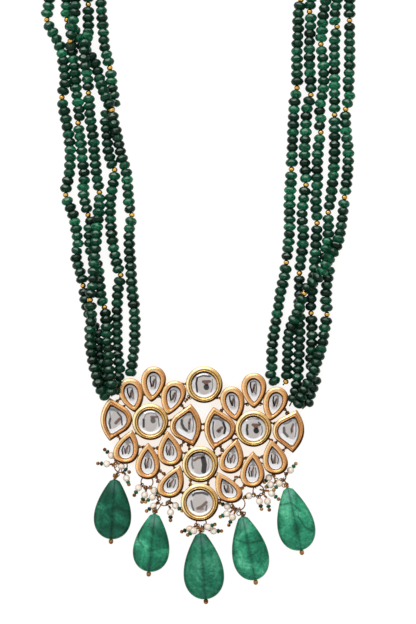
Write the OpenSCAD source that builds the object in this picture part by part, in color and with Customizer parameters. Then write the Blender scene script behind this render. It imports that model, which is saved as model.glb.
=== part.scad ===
// Kundan pendant necklace, lying flat and open on a surface.
// Five strings of beads run from a plain clasp to a pendant of 23 foil-backed stones, each in its own
// gold setting. The settings are joined by small rings, and five pear drops and seven bunches of pearls
// hang below.
// Lengths are in millimetres. +Y runs from the drops to the clasp, and +Z out of the pendant's face.

/* [Strings] */
// Width of a bead, and so of each string
strand_d = 4.2; // [4:0.1:4.4]
// Length of the plain stretch between the pictured part of the strings and the curve behind the neck
rise = 42; // [20:1:80]
// Radius of the curve that the middle string takes behind the neck
arch_r = 33; // [30:1:45]

/* [Settings] */
// Height of a setting from its flat back to the top of its rim
cup_h = 4.1; // [3.6:0.1:4.4]
// Width of the rim, from the outline to the stone
rim_w = 1.9; // [1.6:0.1:2.1]
// Clearance round and under a stone
stone_gap = 0.15; // [0.1:0.05:0.2]

/* [Drops and pearls] */
// Thickness of a pear drop, from front to back
drop_t = 6; // [5:0.5:8]
// Diameter of a pearl
pearl_d = 2.4; // [2:0.1:2.5]

/* [Wire] */
// Diameter of the wire of the rings between the settings
link_wire = 0.42; // [0.36:0.02:0.46]
// Diameter of the wire of the pearls' pins
pin_wire = 0.28; // [0.2:0.02:0.32]
// Diameter of the wire through each drop
drop_wire = 0.5; // [0.4:0.05:0.6]

/* [Hidden] */
$fn = 48;
wire_sides = 24;
ball_sides = 32;

// Place of the pendant's own origin, and of the upper end of the pictured strings, on the long axis
seen_top = 80.2;
pendant_drop = 176;
pendant_y = seen_top - pendant_drop;

// Round settings: columns are x, y, diameter
ROUND = [
    [0.9, 22.2, 14.3],
    [-20.6, 7.3, 14.1],
    [20.6, 4.6, 14.1],
    [-0.7, -9.7, 14.1],
    [-0.9, -24.9, 14.7],
];

// Pear settings: columns are x and y of the middle, heading of the axis, length, width, lean of the tip
PEAR = [
    [-28.6, 17.9, -89, 12.8, 9.2, 1.8],
    [-19.2, 22.4, -90, 13.3, 9.1, -0.9],
    [-10.9, 16.9, -90.5, 12.9, 9.1, -2.4],
    [11.9, 14.5, -89, 13.0, 8.9, 1.7],
    [20.8, 19.8, -89, 13.3, 9.2, 0],
    [29.8, 14.5, -91, 12.8, 9.1, -2.3],
    [-30.5, -2.7, 87, 12.8, 9.4, -2.1],
    [-21.6, -8.4, 89.5, 13.7, 9.1, 0],
    [-12.4, -3.5, 87, 13.1, 9.2, 1.7],
    [-13.0, -16.6, 89, 12.3, 9.5, -3.8],
    [11.3, -6.5, 92, 12.9, 9.1, -2.7],
    [20.2, -11.8, 88.5, 13.7, 9.0, 0],
    [29.4, -6.8, 92.5, 13.2, 9.2, 1.6],
    [11.5, -18.9, 91.5, 11.7, 9.5, 4.8],
];

// Fan settings: columns are x and y of the middle of the straight between the points, heading of the nose
FAN = [
    [-36.7, 8.3, 0],
    [-4.0, 5.9, 184],
    [4.7, 4.7, 0],
    [37.0, 3.5, 175],
];
fan_half = 8.2;
fan_nose = 8.5;
fan_bulge = 3.5;

// Settings are numbered rounds first, then pears, then fans
function round_no(n) = n - 1;
function pear_no(n) = len(ROUND) + n - 1;
function fan_no(n) = len(ROUND) + len(PEAR) + n - 1;

// Rings between two settings: columns are both settings, x, y, heading from the first to the second
LINKS = [
    [pear_no(1), pear_no(2), -23.4, 18.0, 15],
    [pear_no(2), pear_no(3), -16.5, 17.3, -12],
    [pear_no(3), round_no(1), -7.0, 22.4, 10],
    [pear_no(3), round_no(1), -5.6, 16.5, 25],
    [pear_no(1), fan_no(1), -33.2, 16.1, 222],
    [pear_no(1), fan_no(1), -30.8, 13.9, 228],
    [fan_no(1), round_no(2), -27.8, 8.0, 0],
    [round_no(2), fan_no(2), -13.05, 7.8, 0],
    [round_no(2), fan_no(2), -13.05, 5.4, 0],
    [fan_no(2), fan_no(3), 0.35, 6.3, 0],
    [fan_no(2), fan_no(3), 0.35, 3.9, 0],
    [fan_no(1), pear_no(7), -33.1, 0.9, -48],
    [round_no(2), pear_no(7), -26.8, 2.4, 205],
    [round_no(2), pear_no(9), -14.7, 2.3, -25],
    [pear_no(7), pear_no(8), -24.3, -2.8, -8],
    [pear_no(7), pear_no(8), -25.6, -6.3, -12],
    [pear_no(8), pear_no(9), -18.6, -3.3, 8],
    [pear_no(8), pear_no(9), -17.5, -6.2, 8],
    [pear_no(9), round_no(4), -7.3, -5.2, -10],
    [pear_no(9), round_no(4), -8.0, -8.1, 0],
    [pear_no(9), pear_no(10), -11.2, -10.8, -65],
    [pear_no(8), pear_no(10), -16.0, -13.0, -35],
    [pear_no(8), pear_no(10), -17.9, -15.6, -60],
    [pear_no(10), round_no(4), -7.8, -12.6, 10],
    [pear_no(10), round_no(5), -8.3, -21.0, -20],
    [round_no(4), fan_no(2), -5.2, -2.9, 105],
    [pear_no(9), fan_no(2), -7.8, -1.5, 55],
    [round_no(4), fan_no(3), 4.8, -4.4, 80],
    [round_no(4), round_no(5), -4.6, -17.0, -90],
    [round_no(4), round_no(5), 2.4, -17.1, -90],
    [round_no(5), pear_no(14), 6.9, -23.9, 10],
    [round_no(4), pear_no(14), 5.0, -14.7, -15],
    [pear_no(11), round_no(4), 6.5, -6.6, 190],
    [fan_no(3), pear_no(11), 7.6, -3.3, -70],
    [pear_no(11), pear_no(12), 17.2, -7.4, 5],
    [pear_no(11), pear_no(12), 16.5, -9.9, 5],
    [pear_no(12), pear_no(13), 23.3, -7.0, 5],
    [pear_no(12), pear_no(13), 24.2, -9.4, 3],
    [pear_no(14), pear_no(12), 14.6, -14.9, 12],
    [pear_no(14), pear_no(12), 16.7, -18.6, 50],
    [pear_no(11), round_no(3), 14.3, 0.6, 33],
    [fan_no(3), pear_no(11), 12.1, 0.3, -60],
    [round_no(3), fan_no(4), 28.2, 6.7, -8],
    [round_no(3), pear_no(13), 27.0, 0.3, -34],
    [pear_no(13), fan_no(4), 33.1, -3.6, 50],
    [pear_no(13), fan_no(4), 30.0, -0.5, 50],
    [fan_no(3), round_no(3), 13.35, 5.1, 0],
    [fan_no(3), round_no(3), 13.1, 2.4, -12],
    [round_no(1), pear_no(4), 6.7, 16.8, -15],
    [pear_no(4), pear_no(5), 17.2, 14.4, -8],
    [pear_no(5), pear_no(6), 24.2, 14.4, 5],
    [pear_no(6), fan_no(4), 33.7, 11.6, -50],
    [pear_no(4), fan_no(3), 8.1, 12.0, 240],
    [pear_no(3), fan_no(2), -7.5, 13.1, -50],
];

// Hoops under the lowest settings: columns are the setting, x, y, radius, angle of its eyelet on the hoop
HOOPS = [
    [pear_no(7), -32.5, -10.4, 2.6, 58],
    [pear_no(8), -22.0, -16.8, 2.4, 88],
    [pear_no(10), -15.1, -23.8, 2.5, 58],
    [round_no(5), -0.3, -33.2, 2.0, 92],
    [pear_no(14), 14.6, -25.5, 2.6, 128],
    [pear_no(12), 22.6, -20.3, 2.2, 135],
    [pear_no(13), 31.2, -14.6, 2.4, 118],
];

// Pearls on their pins: columns are the hoop, x, y, heading of the pin, length from pearl to ball, lift,
// and, where the pin doesn't lead straight out of the hoop, the angle of its eye on the hoop
PEARLS = [
    [1, -36.3, -6.2, 139, 3.5, 0, 122],
    [1, -38.1, -9.6, 177, 3.6, 0],
    [1, -32.3, -10.4, -37, 4.0, 1.2],
    [1, -30.2, -15.3, -70, 2.7, 0],
    [2, -25.4, -19.2, 240, 3.4, 0],
    [2, -23.0, -22.0, 250, 3.0, 0],
    [2, -19.2, -20.2, -30, 2.1, 0],
    [3, -19.9, -22.9, 215, 3.3, 0],
    [3, -19.4, -26.5, 215, 3.4, 0],
    [3, -10.6, -26.3, -38, 3.3, 0],
    [3, -12.6, -29.0, -90, 3.2, 0],
    [4, -5.0, -35.6, 200, 3.3, 0, 202],
    [4, -3.3, -36.2, 215, 2.9, 2.0, 232],
    [4, 2.3, -34.7, 20, 3.0, 2.0],
    [4, 4.6, -36.5, 0, 3.2, 0],
    [5, 10.1, -26.6, 155, 3.2, 0],
    [5, 9.9, -29.6, 205, 2.8, 0],
    [5, 12.2, -31.0, 245, 3.4, 0],
    [6, 18.8, -22.4, 200, 1.8, 0],
    [6, 23.0, -24.6, -75, 3.2, 0],
    [6, 26.2, -24.6, -78, 3.5, 0],
    [6, 27.9, -21.4, -40, 3.6, 0],
    [7, 26.8, -15.1, 225, 2.6, 0],
    [7, 27.5, -18.0, 205, 2.0, 0],
    [7, 30.9, -17.2, -130, 3.4, 2.2, 280],
    [7, 35.4, -12.1, 50, 3.4, 0],
];

// Pear drops: columns are the hoop, x and y of the top, x and y of the bottom, width, fullness of the top,
// angle of the pin's eye on the hoop
DROPS = [
    [1, -34.8, -15.6, -36.3, -39.6, 15.0, 0.5, 248],
    [3, -18.8, -29.4, -21.2, -52.6, 14.6, 0.7, 240],
    [4, -0.6, -37.0, 1.5, -63.6, 16.2, 0.6, 268],
    [5, 16.2, -30.4, 21.3, -55.9, 14.6, 0.6, 287],
    [7, 34.2, -19.0, 39.7, -44.0, 15.0, 0.6, 320],
];
ball_r = 0.9;
ball_gap = 0.15;

// Strings, from the outermost inwards. Columns are x, distance below the upper end of the pictured part,
// and lift where one string lies over another. The last row of each is the end of the bare thread.
LEFT = [
    [[-61, 0, 0], [-62, 8, 0], [-58, 16, 0], [-56, 21, 0], [-55.2, 27, 0], [-54.6, 33, 0], [-56, 39, 0],
     [-54.5, 47, 0], [-52.7, 59.5, 0], [-53, 69, 0], [-54.5, 78, 0], [-51.5, 86, 0], [-49.5, 98.5, 0],
     [-50.5, 102, 0], [-48, 111.5, 0], [-46, 123, 0], [-44, 129, 0], [-41, 134.5, 0], [-41.5, 138, 0],
     [-39.5, 147, 0], [-38.2, 153.2, 0], [-37.2, 158.6, 0]],
    [[-54, 0, 0], [-54, 8, 0], [-50.5, 13, 0], [-47.5, 19, 0], [-44, 23, 0], [-42, 27.5, 0], [-41, 31.5, 0],
     [-39.5, 36, 2.4], [-38, 40, 4.2], [-36, 44.5, 4.3], [-35, 50, 3.2], [-33.7, 55, 1.7], [-33, 59, 0],
     [-32, 63.5, 0],
     [-30.4, 68, 0], [-29, 83, 0], [-28, 86, 0], [-29, 91.5, 0], [-29, 100.5, 0], [-28.5, 106.5, 0],
     [-28, 115.5, 0], [-27, 125, 0], [-27, 138, 0], [-28.5, 149, 0], [-28.8, 151, 0]],
    [[-50.5, 0, 3], [-50.5, 5, 4.3], [-51.5, 10.5, 4.4], [-52, 14, 4.3], [-52.4, 17.2, 3], [-52, 20.5, 0],
     [-50.8, 28, 0],
     [-50.5, 34.5, 0], [-49, 46, 0], [-49.5, 49, 0], [-48.9, 54, 0], [-48.1, 60, 0],
     [-47.8, 64.5, 0], [-47, 70.5, 0],
     [-47.5, 76.5, 0], [-45.5, 86, 0], [-44.5, 88.5, 0], [-45, 91, 0], [-44.5, 100.5, 0], [-42, 106, 0],
     [-41, 112.5, 0], [-40.5, 118.5, 0], [-39, 123, 0.4], [-38, 130, 3], [-38, 135.5, 3.2],
     [-37, 141.5, 3.4], [-37.5, 145, 4], [-36, 152, 4.4], [-36, 155, 4.4], [-36, 158.8, 1]],
    [[-45.5, 0, 0], [-45.5, 7, 0], [-45.4, 13, 0.8], [-46, 16, 3.4], [-46.5, 19, 4.3], [-46.8, 22, 4.3],
     [-46.8, 25, 3.8], [-46, 28.5, 2.4], [-45.5, 34.5, 0], [-45, 43, 0], [-44.5, 49, 0], [-43.5, 55, 0],
     [-43, 61.5, 0], [-42, 71, 0], [-41, 77, 0], [-41, 82.5, 1.2], [-41.5, 88, 3.2], [-42, 94.5, 4.2],
     [-42.5, 100.5, 4.3], [-43, 107, 4.3], [-43.5, 114, 4.3], [-44.5, 120, 4.3], [-44, 125.5, 4.3],
     [-44.5, 132, 4.0], [-44.5, 138, 3.0], [-44, 142, 2.8], [-42.5, 148.5, 3], [-41, 154, 3],
     [-38.3, 159, 0.4]],
    [[-40.5, 0, 0], [-40, 7, 0], [-39.5, 12.5, 0], [-39, 18.5, 0], [-37.5, 24.5, 0], [-36.5, 29, 0],
     [-36, 35, 0], [-35, 41, 0], [-38, 45, 0], [-38.5, 47.5, 0], [-38, 53.5, 0], [-37.5, 60, 0],
     [-36.2, 65.5, 0], [-34.9, 68, 0], [-35.5, 73.5, 0], [-36.5, 79.5, 0], [-36.5, 89.5, 0],
     [-35.5, 98.5, 0], [-33.5, 107.5, 0], [-32.5, 110, 0], [-33.5, 115, 0], [-34, 125, 0], [-34, 134.5, 0],
     [-33.5, 143.5, 0], [-32.8, 149, 0], [-33.4, 151, 0], [-34.9, 158.7, 0]],
];
RIGHT = [
    [[59, 0, 0], [59, 8, 0], [59, 17, 0], [59, 26, 0], [58.5, 35, 0], [59, 38.5, 0], [57.5, 43.5, 0],
     [57.5, 52, 0], [58.5, 61, 0], [58, 70.5, 0], [57, 79, 0], [56, 88, 0], [55, 94, 1], [53, 99.5, 3.5],
     [50, 104.5, 4.3], [46.5, 110.5, 4.3], [42, 115, 4.3], [39.5, 120, 4.3], [38, 125, 4.3],
     [36, 129, 3.6], [35, 132, 2.4], [34.5, 136, 0.3], [34, 148.5, 0], [33.6, 152.4, 0], [31.8, 154.6, 0]],
    [[54, 0, 0], [53, 8, 0], [54, 10.5, 0], [53, 16, 0], [53, 25, 0], [53, 34.5, 0], [53, 43.5, 0],
     [53, 51.5, 0], [53, 61, 0], [52.5, 70, 0], [51.5, 79, 0], [50.5, 85, 0], [50.5, 94, 0],
     [49.5, 100.5, 0], [49.4, 104, 0], [50.9, 107, 0], [50, 113, 0], [49.5, 120, 0], [50, 125.5, 0],
     [49, 131.5, 0], [48, 138, 1.6], [46, 143.5, 3.8], [44, 149.5, 4.3], [40.5, 156, 4.3],
     [39, 159.5, 4.0], [38.6, 161.2, 3.4], [37.8, 163.2, 1.2]],
    [[49.5, 0, 0], [48.5, 6, 0], [48, 12, 0], [47.5, 17.5, 0], [48.5, 25.5, 0], [48.5, 35, 0],
     [47, 44, 0], [47.5, 47, 0], [47, 50.5, 0], [47.5, 53, 0], [46.5, 58.5, 0], [46, 68, 0],
     [46, 74.5, 0], [45.5, 80, 0], [46, 89, 0],
     [45.5, 98, 0], [45, 106.5, 0], [44, 116, 0], [43.5, 122.5, 0], [44, 134, 0],
     [43.5, 144, 0], [44, 148, 0], [45.5, 151.5, 0], [43.5, 157, 0], [42.5, 161, 0], [40.9, 162.8, 0],
     [39, 164.4, 0]],
    [[43.5, 0, 0], [43, 4.5, 0], [43.5, 7, 0], [43, 16.5, 0], [43, 26, 0], [43.5, 38, 0], [42, 43, 0],
     [41.5, 52, 0], [41, 61.5, 0], [41.6, 74, 0], [41, 77, 0], [40, 85.5, 0], [40.5, 95, 0],
     [39, 109, 0], [39, 117.5, 0], [39, 127.5, 0], [39, 137, 0], [38.5, 147, 0], [38, 153, 0],
     [36.7, 158.8, 0], [34.7, 162.9, 0]],
    [[39.5, 0, 0], [38.5, 5.5, 0], [38.5, 11.5, 0], [38, 20, 0], [38, 29, 0], [38, 35, 0], [37, 41, 0],
     [36.5, 50, 0], [36, 62, 0], [35.5, 73.5, 0], [35, 80, 0], [35, 92.5, 0], [34, 102.5, 0],
     [33, 110.5, 0], [31.5, 116.5, 0], [30.5, 123, 0], [29.5, 129, 0], [28, 139.5, 0], [28, 146, 0],
     [27.4, 149.5, 0], [28.8, 152.2, 0], [29.7, 154.3, 0]],
];
thread_r = 0.3;
tube_sides = 8;

// Behind the neck the strings lie side by side, then gather in a ring of five at the clasp
lane = 5.6;
bunch_r = 4.3;
gather_from = 35;
clasp_half = 17;
clasp_gap = 0.3;
clasp_mouth_r = 6.5;
clasp_neck_r = 3.2;
clasp_barrel_r = 3.9;
lead_in = 4;
arch_y = seen_top + rise;
strand_z = strand_d / 2;

// Section of a setting: columns are distance in from the outline, share of the height
CUP = [
    [1.5, 0],
    [1.4, 0.56],
    [0.2, 0.65],
    [0, 0.78],
    [0.35, 0.95],
    [0.9, 1],
    [1.35, 0.83],
    [1.65, 0.87],
    [rim_w, 0.51],
];
seat_z = cup_h * 0.51;
outline_sides = 18;

// Section of a stone: columns are distance in from its edge, share of the height over its seat
STONE = [
    [0, 0],
    [0, 0.5],
    [1.35, 0.9],
];
round_stone_sides = 16;

// Eyelets lie under the rims, and the rings stand on edge through them
eyelet_z = 1.25;
eyelet_h = 0.6;
eyelet_r = 0.74;
eyelet_hole_r = 0.42;
link_r = 0.95;
arm_long = 4.5;
arm_w = 1;
hoop_z = 1.6;
hoop_eye_r = 0.8;
eye_arm = 3;

// Pins: an eye on the hoop, wire through the pearl, and a ball at the end
pearl_z = pearl_d / 2 + 0.05;
eye_r = 0.5;
drop_eye_r = 1;
pearl_bore_r = 0.26;
pin_ball_r = 0.55;
straight_share = 0.8;
bend_share = 1.2;
seam_turn = 75;
drop_z = drop_t / 2;
drop_bore_r = 0.42;
drop_sides = 14;
DROP_RINGS = [20, 34, 52, 72, 92, 112, 132, 150, 163, 173];

function unit(v) = v / norm(v);
function heading(a) = [cos(a), sin(a)];
function mix(a, b, f) = a + (b - a) * f;
function ease(u) = let (c = max(0, min(1, u))) c * c * (3 - 2 * c);

function middle(ring) = [for (k = [0 : 2]) (min([for (p = ring) p[k]]) + max([for (p = ring) p[k]])) / 2];

// Closed solid through a list of rings with the same number of points, each counter-clockwise from outside
module loft(rings) {
    n = len(rings[0]);
    last = len(rings) - 1;
    points = concat([for (ring = rings) each ring], [middle(rings[0]), middle(rings[last])]);
    start = n * (last + 1);
    walls = [for (k = [0 : last - 1]) for (i = [0 : n - 1])
        [k * n + i, (k + 1) * n + i, (k + 1) * n + (i + 1) % n, k * n + (i + 1) % n]];
    floor = [for (i = [0 : n - 1]) [start, i, (i + 1) % n]];
    roof = [for (i = [0 : n - 1]) [start + 1, last * n + (i + 1) % n, last * n + i]];
    polyhedron(points, concat(walls, floor, roof), convexity = 6);
}

// Outline of a pear, its point along +X, taken in from the edge all round and leaning sideways at the point
pear_point_in = 1.48;
pear_full = 1.3;
function pear_outline(row, inset, n) =
    let (length = row[3], width = row[4], lean = row[5])
    [for (i = [0 : n - 1]) let (
        t = 360 * (i + 0.5) / n,
        along = (length - (1 + pear_point_in) * inset) / 2 * cos(t) - (pear_point_in - 1) / 2 * inset,
        side = (width - 2 * inset) / 2 * pear_full * sin(t) * sin(t / 2),
        share = (along + length / 2) / length)
        [along, side + lean * share * share]];

// Outline of a fan: a round nose along +X, two points across it, and a shallow curve behind
fan_point_in = 1.21;
fan_shift = 0.25;
nose_power = 2.1;
function fan_outline(inset, n) =
    let (half = fan_half - fan_point_in * inset, nose = fan_nose - (1 + fan_shift) * inset,
        bulge = fan_bulge - (1 - fan_shift) * inset)
    [for (i = [0 : n - 1]) let (
        t = 360 * i / n - 90,
        out = cos(t) > 0 ? nose * (1 - pow(abs(sin(t)), nose_power)) : -bulge * cos(t) * cos(t))
        [fan_shift * inset + out, half * sin(t)]];

function round_outline(row, inset, n) =
    [for (i = [0 : n - 1]) (row[2] / 2 - inset) * heading(360 * i / n)];

function outline(no, inset, n) =
    no < len(ROUND) ? round_outline(ROUND[no], inset, n)
    : no < len(ROUND) + len(PEAR) ? pear_outline(PEAR[no - len(ROUND)], inset, n)
    : fan_outline(inset, n);
function setting_row(no) =
    no < len(ROUND) ? [ROUND[no][0], ROUND[no][1], 0]
    : no < len(ROUND) + len(PEAR) ? PEAR[no - len(ROUND)]
    : FAN[no - len(ROUND) - len(PEAR)];

module at_setting(no) {
    row = setting_row(no);
    translate([row[0], row[1], 0]) rotate([0, 0, row[2]]) children();
}

module ring_of_wire(r, wire) {
    rotate_extrude() translate([r, 0]) rotate(180) circle(d = wire, $fn = wire_sides);
}

// Flat eyelet on an arm that runs in under its setting, without its hole
function eyelet_place(link, end) = [link[2], link[3]] + link_r * end * heading(link[4]);
module eyelet(no, link, end) {
    place = eyelet_place(link, end);
    row = setting_row(no);
    inward = [row[0], row[1]] - place;
    translate([place[0], place[1], eyelet_z - eyelet_h / 2]) {
        cylinder(r = eyelet_r, h = eyelet_h);
        rotate([0, 0, atan2(inward[1], inward[0])]) translate([0, -arm_w / 2, 0])
            cube([min(arm_long, norm(inward)), arm_w, eyelet_h]);
    }
}

module eyelet_hole(link, end) {
    place = eyelet_place(link, end);
    translate([place[0], place[1], eyelet_z - eyelet_h]) cylinder(r = eyelet_hole_r, h = 2 * eyelet_h);
}

// Standing eye that holds a hoop
module hoop_eye(hoop) {
    place = [hoop[1], hoop[2]] + hoop[3] * heading(hoop[4]);
    root = place + hoop_eye_r * heading(hoop[4]);
    row = setting_row(hoop[0]);
    arm = eye_arm * unit([row[0], row[1]] - root);
    translate([place[0], place[1], hoop_z]) rotate([0, 0, hoop[4]]) rotate([90, 0, 0])
        ring_of_wire(hoop_eye_r, link_wire);
    wire(concat(root, hoop_z), concat(root + arm, hoop_z), link_wire);
}

module cup(no) {
    if (no < len(ROUND))
        rotate_extrude() polygon(concat([[0, 0]],
            [for (p = CUP) [ROUND[no][2] / 2 - p[0], p[1] * cup_h]], [[0, seat_z]]));
    else
        loft([for (p = CUP) [for (q = outline(no, p[0], outline_sides)) [q[0], q[1], p[1] * cup_h]]]);
}

module setting(no) {
    color("goldenrod") pendant() difference() {
        union() {
            at_setting(no) cup(no);
            for (link = LINKS) {
                if (link[0] == no) eyelet(no, link, -1);
                if (link[1] == no) eyelet(no, link, 1);
            }
            for (hoop = HOOPS) if (hoop[0] == no) hoop_eye(hoop);
        }
        for (link = LINKS) {
            if (link[0] == no) eyelet_hole(link, -1);
            if (link[1] == no) eyelet_hole(link, 1);
        }
    }
}

// Foil-backed stone: flat table with a bevelled facet on each side of its outline
module stone(no) {
    n = no < len(ROUND) ? round_stone_sides : outline_sides;
    bottom = seat_z + stone_gap;
    high = cup_h - bottom;
    color("gainsboro") pendant() at_setting(no)
        loft([for (p = STONE)
            [for (q = outline(no, rim_w + stone_gap + p[0], n)) [q[0], q[1], bottom + p[1] * high]]]);
}

module pendant() {
    translate([0, pendant_y, 0]) children();
}

module links() {
    color("peru") pendant() {
        for (link = LINKS)
            translate([link[2], link[3], eyelet_z]) rotate([0, 0, link[4]]) rotate([90, 0, 0])
                ring_of_wire(link_r, link_wire);
        for (hoop = HOOPS) translate([hoop[1], hoop[2], hoop_z]) ring_of_wire(hoop[3], link_wire);
    }
}

// A pearl's pin bends where it enters the pearl, a little outside it
function pearl_place(row) = [row[1], row[2], pearl_z + row[5]];
function pearl_mouth(row) =
    let (clear = row[5] > 0 ? 2 * pin_wire : pin_wire)
    pearl_place(row) - (pearl_d / 2 + clear) * concat(heading(row[3]), 0);
function eye_place(row) =
    let (hoop = HOOPS[row[0] - 1], centre = [hoop[1], hoop[2]], mouth = pearl_mouth(row))
    concat(centre + hoop[3] * (len(row) > 6 ? heading(row[6]) : unit([mouth[0], mouth[1]] - centre)), hoop_z);

// Straight wire, a little thinner than the ring that it grows out of
module wire(a, b, d) {
    v = b - a;
    translate(a) rotate([0, acos(v[2] / norm(v)), atan2(v[1], v[0])]) rotate([0, 0, seam_turn])
        cylinder(d = d * straight_share, h = norm(v), $fn = wire_sides);
}

// Ball centred on a wire, its seam turned away from where the wire enters
module ball(place, along, r, n) {
    v = along - place;
    translate(place) rotate([0, 0, atan2(v[1], v[0]) + seam_turn]) sphere(r = r, $fn = n);
}

module eye(place, toward, r, d) {
    v = toward - place;
    translate(place) rotate([0, 0, atan2(v[1], v[0])]) rotate([90, 0, 0]) rotate([0, 0, seam_turn])
        ring_of_wire(r, d);
}

module pearls() {
    color("seashell") pendant() for (row = PEARLS)
        translate(pearl_place(row)) rotate([0, 90, row[3]]) rotate_extrude() intersection() {
            circle(d = pearl_d);
            translate([pearl_bore_r, -pearl_d]) square([pearl_d, 2 * pearl_d]);
        }
}

module pearl_pin(row) {
    place = eye_place(row);
    mouth = pearl_mouth(row);
    near = place + eye_r * unit(mouth - place);
    tip = pearl_place(row) + row[4] * concat(heading(row[3]), 0);
    eye(place, mouth, eye_r, pin_wire);
    wire(near, mouth, pin_wire);
    ball(mouth, tip, pin_wire * bend_share / 2, wire_sides);
    wire(mouth, tip, pin_wire);
    ball(tip, mouth, pin_ball_r, wire_sides);
}

function drop_top(row) = [row[1], row[2], drop_z];
function drop_end(row) = [row[3], row[4], drop_z];
function drop_eye_place(row) =
    let (hoop = HOOPS[row[0] - 1])
    concat([hoop[1], hoop[2]] + hoop[3] * heading(row[7]), drop_z - drop_eye_r);

module drop_pin(row) {
    place = drop_eye_place(row);
    above = [place[0], place[1], drop_z];
    dir = unit(drop_end(row) - drop_top(row));
    eye(place, drop_top(row), drop_eye_r, drop_wire);
    wire(above, drop_top(row), drop_wire);
    ball(drop_top(row), drop_end(row), drop_wire * bend_share / 2, wire_sides);
    wire(drop_top(row), drop_end(row) + ball_r * dir, drop_wire);
    ball(drop_end(row) + (ball_r + ball_gap) * dir, drop_top(row), ball_r, ball_sides);
}

module pins() {
    color("peru") pendant() {
        for (row = PEARLS) pearl_pin(row);
        for (row = DROPS) drop_pin(row);
    }
}

// Pear drop with an oval section, drilled from end to end
drop_round = 0.6;
function fullness(t, power) = sin(t) * pow(sin(t / 2), power);
module drop(row) {
    top = drop_top(row);
    end = drop_end(row);
    widest = max([for (t = [60 : 2 : 150]) fullness(t, row[6])]);
    color("seagreen") pendant() difference() {
        translate((top + end) / 2) rotate([0, 0, atan2(end[1] - top[1], end[0] - top[0])]) rotate([0, 90, 0])
            loft([for (t = DROP_RINGS) let (share = fullness(t, row[6]) / widest)
                [for (i = [0 : drop_sides - 1]) let (a = 360 * i / drop_sides)
                    [drop_t / 2 * pow(share, drop_round) * cos(a), row[5] / 2 * share * sin(a),
                        -norm(end - top) / 2 * cos(t)]]]);
        translate(top - (end - top) / 4) rotate([0, 90, atan2(end[1] - top[1], end[0] - top[0])])
            cylinder(r = drop_bore_r, h = 2 * norm(end - top));
    }
}

// Route of one half of a string, from the clasp round behind the neck and down to the pendant
function bunch_angle(n) = [18, -54, 90, 234, 162][n];
function half_route(n, side) =
    let (
        seen = side < 0 ? LEFT[n] : RIGHT[n],
        track = (2 - n) * lane,
        bunch = bunch_r * heading(bunch_angle(n)),
        low = clasp_mouth_r + bunch[1],
        arch_x = clasp_half + lead_in,
        curve = [for (t = [90 : -15 : 0]) let (
            g = ease((t - gather_from) / (90 - gather_from)),
            r = arch_r + mix(track, bunch[0], g))
            [side * (arch_x + r * cos(t)), arch_y + r * sin(t), mix(strand_z, low, g)]],
        foot = curve[len(curve) - 1],
        first = [seen[0][0], seen_top, strand_z + seen[0][2]])
    concat(
        [[side * (clasp_half + clasp_gap), arch_y + arch_r + bunch[0], low]],
        curve,
        [for (f = [1 / 3, 2 / 3]) mix(foot, first, f)],
        [for (p = seen) [p[0], seen_top - p[1], strand_z + p[2]]]);

module tube(route) {
    last = len(route) - 1;
    loft([for (i = [0 : last]) let (
        ahead = unit(route[min(i + 1, last)] - route[max(i - 1, 0)]),
        across = unit(cross([0, 0, 1], ahead)),
        up = cross(ahead, across),
        r = i == last ? thread_r : strand_d / 2)
        [for (k = [0 : tube_sides - 1]) let (a = 360 * (k + 0.5) / tube_sides)
            route[i] + r * (cos(a) * across + sin(a) * up)]]);
}

module strand(n) {
    color("darkgreen") for (side = [-1, 1]) tube(half_route(n, side));
}

// Plain clasp: two flared mouths on a barrel
module clasp() {
    flare = 9;
    lip = 2;
    color("goldenrod") translate([0, arch_y + arch_r, clasp_mouth_r]) rotate([0, 90, 0]) rotate_extrude()
        polygon([
            [0, -clasp_half], [clasp_mouth_r, -clasp_half], [clasp_mouth_r, lip - clasp_half],
            [clasp_neck_r, flare - clasp_half], [clasp_barrel_r, flare + 1 - clasp_half],
            [clasp_barrel_r, clasp_half - flare - 1], [clasp_neck_r, clasp_half - flare],
            [clasp_mouth_r, clasp_half - lip], [clasp_mouth_r, clasp_half], [0, clasp_half],
        ]);
}

for (n = [1 : len(LEFT)]) strand(n - 1);
for (n = [1 : len(ROUND)]) setting(round_no(n));
for (n = [1 : len(PEAR)]) setting(pear_no(n));
for (n = [1 : len(FAN)]) setting(fan_no(n));
for (n = [1 : len(ROUND)]) stone(round_no(n));
for (n = [1 : len(PEAR)]) stone(pear_no(n));
for (n = [1 : len(FAN)]) stone(fan_no(n));
for (n = [1 : len(DROPS)]) drop(DROPS[n - 1]);
clasp();
links();
pearls();
pins();
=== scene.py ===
"""Kundan pendant necklace, lying open on a pale floor under soft studio light."""
import math

import bpy
import numpy as np
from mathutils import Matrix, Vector


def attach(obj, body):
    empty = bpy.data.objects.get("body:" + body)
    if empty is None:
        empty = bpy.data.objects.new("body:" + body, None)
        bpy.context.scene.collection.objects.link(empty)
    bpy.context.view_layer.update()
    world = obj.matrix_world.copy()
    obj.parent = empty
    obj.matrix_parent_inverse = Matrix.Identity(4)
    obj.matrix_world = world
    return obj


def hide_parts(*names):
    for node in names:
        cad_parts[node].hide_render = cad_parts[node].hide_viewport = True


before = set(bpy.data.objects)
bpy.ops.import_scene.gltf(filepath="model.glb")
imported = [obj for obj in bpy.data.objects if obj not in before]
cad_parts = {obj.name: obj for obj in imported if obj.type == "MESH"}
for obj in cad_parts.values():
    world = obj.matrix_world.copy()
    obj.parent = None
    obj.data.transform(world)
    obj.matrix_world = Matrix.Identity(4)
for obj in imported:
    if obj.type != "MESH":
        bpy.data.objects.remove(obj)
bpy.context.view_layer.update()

MM = 0.001
rng = np.random.default_rng(5)

# Places and sizes below are in millimetres, in the frame of the CAD
SEEN_TOP = 80.2
PENDANT_DOWN = 176
PENDANT_Y = SEEN_TOP - PENDANT_DOWN

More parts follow.
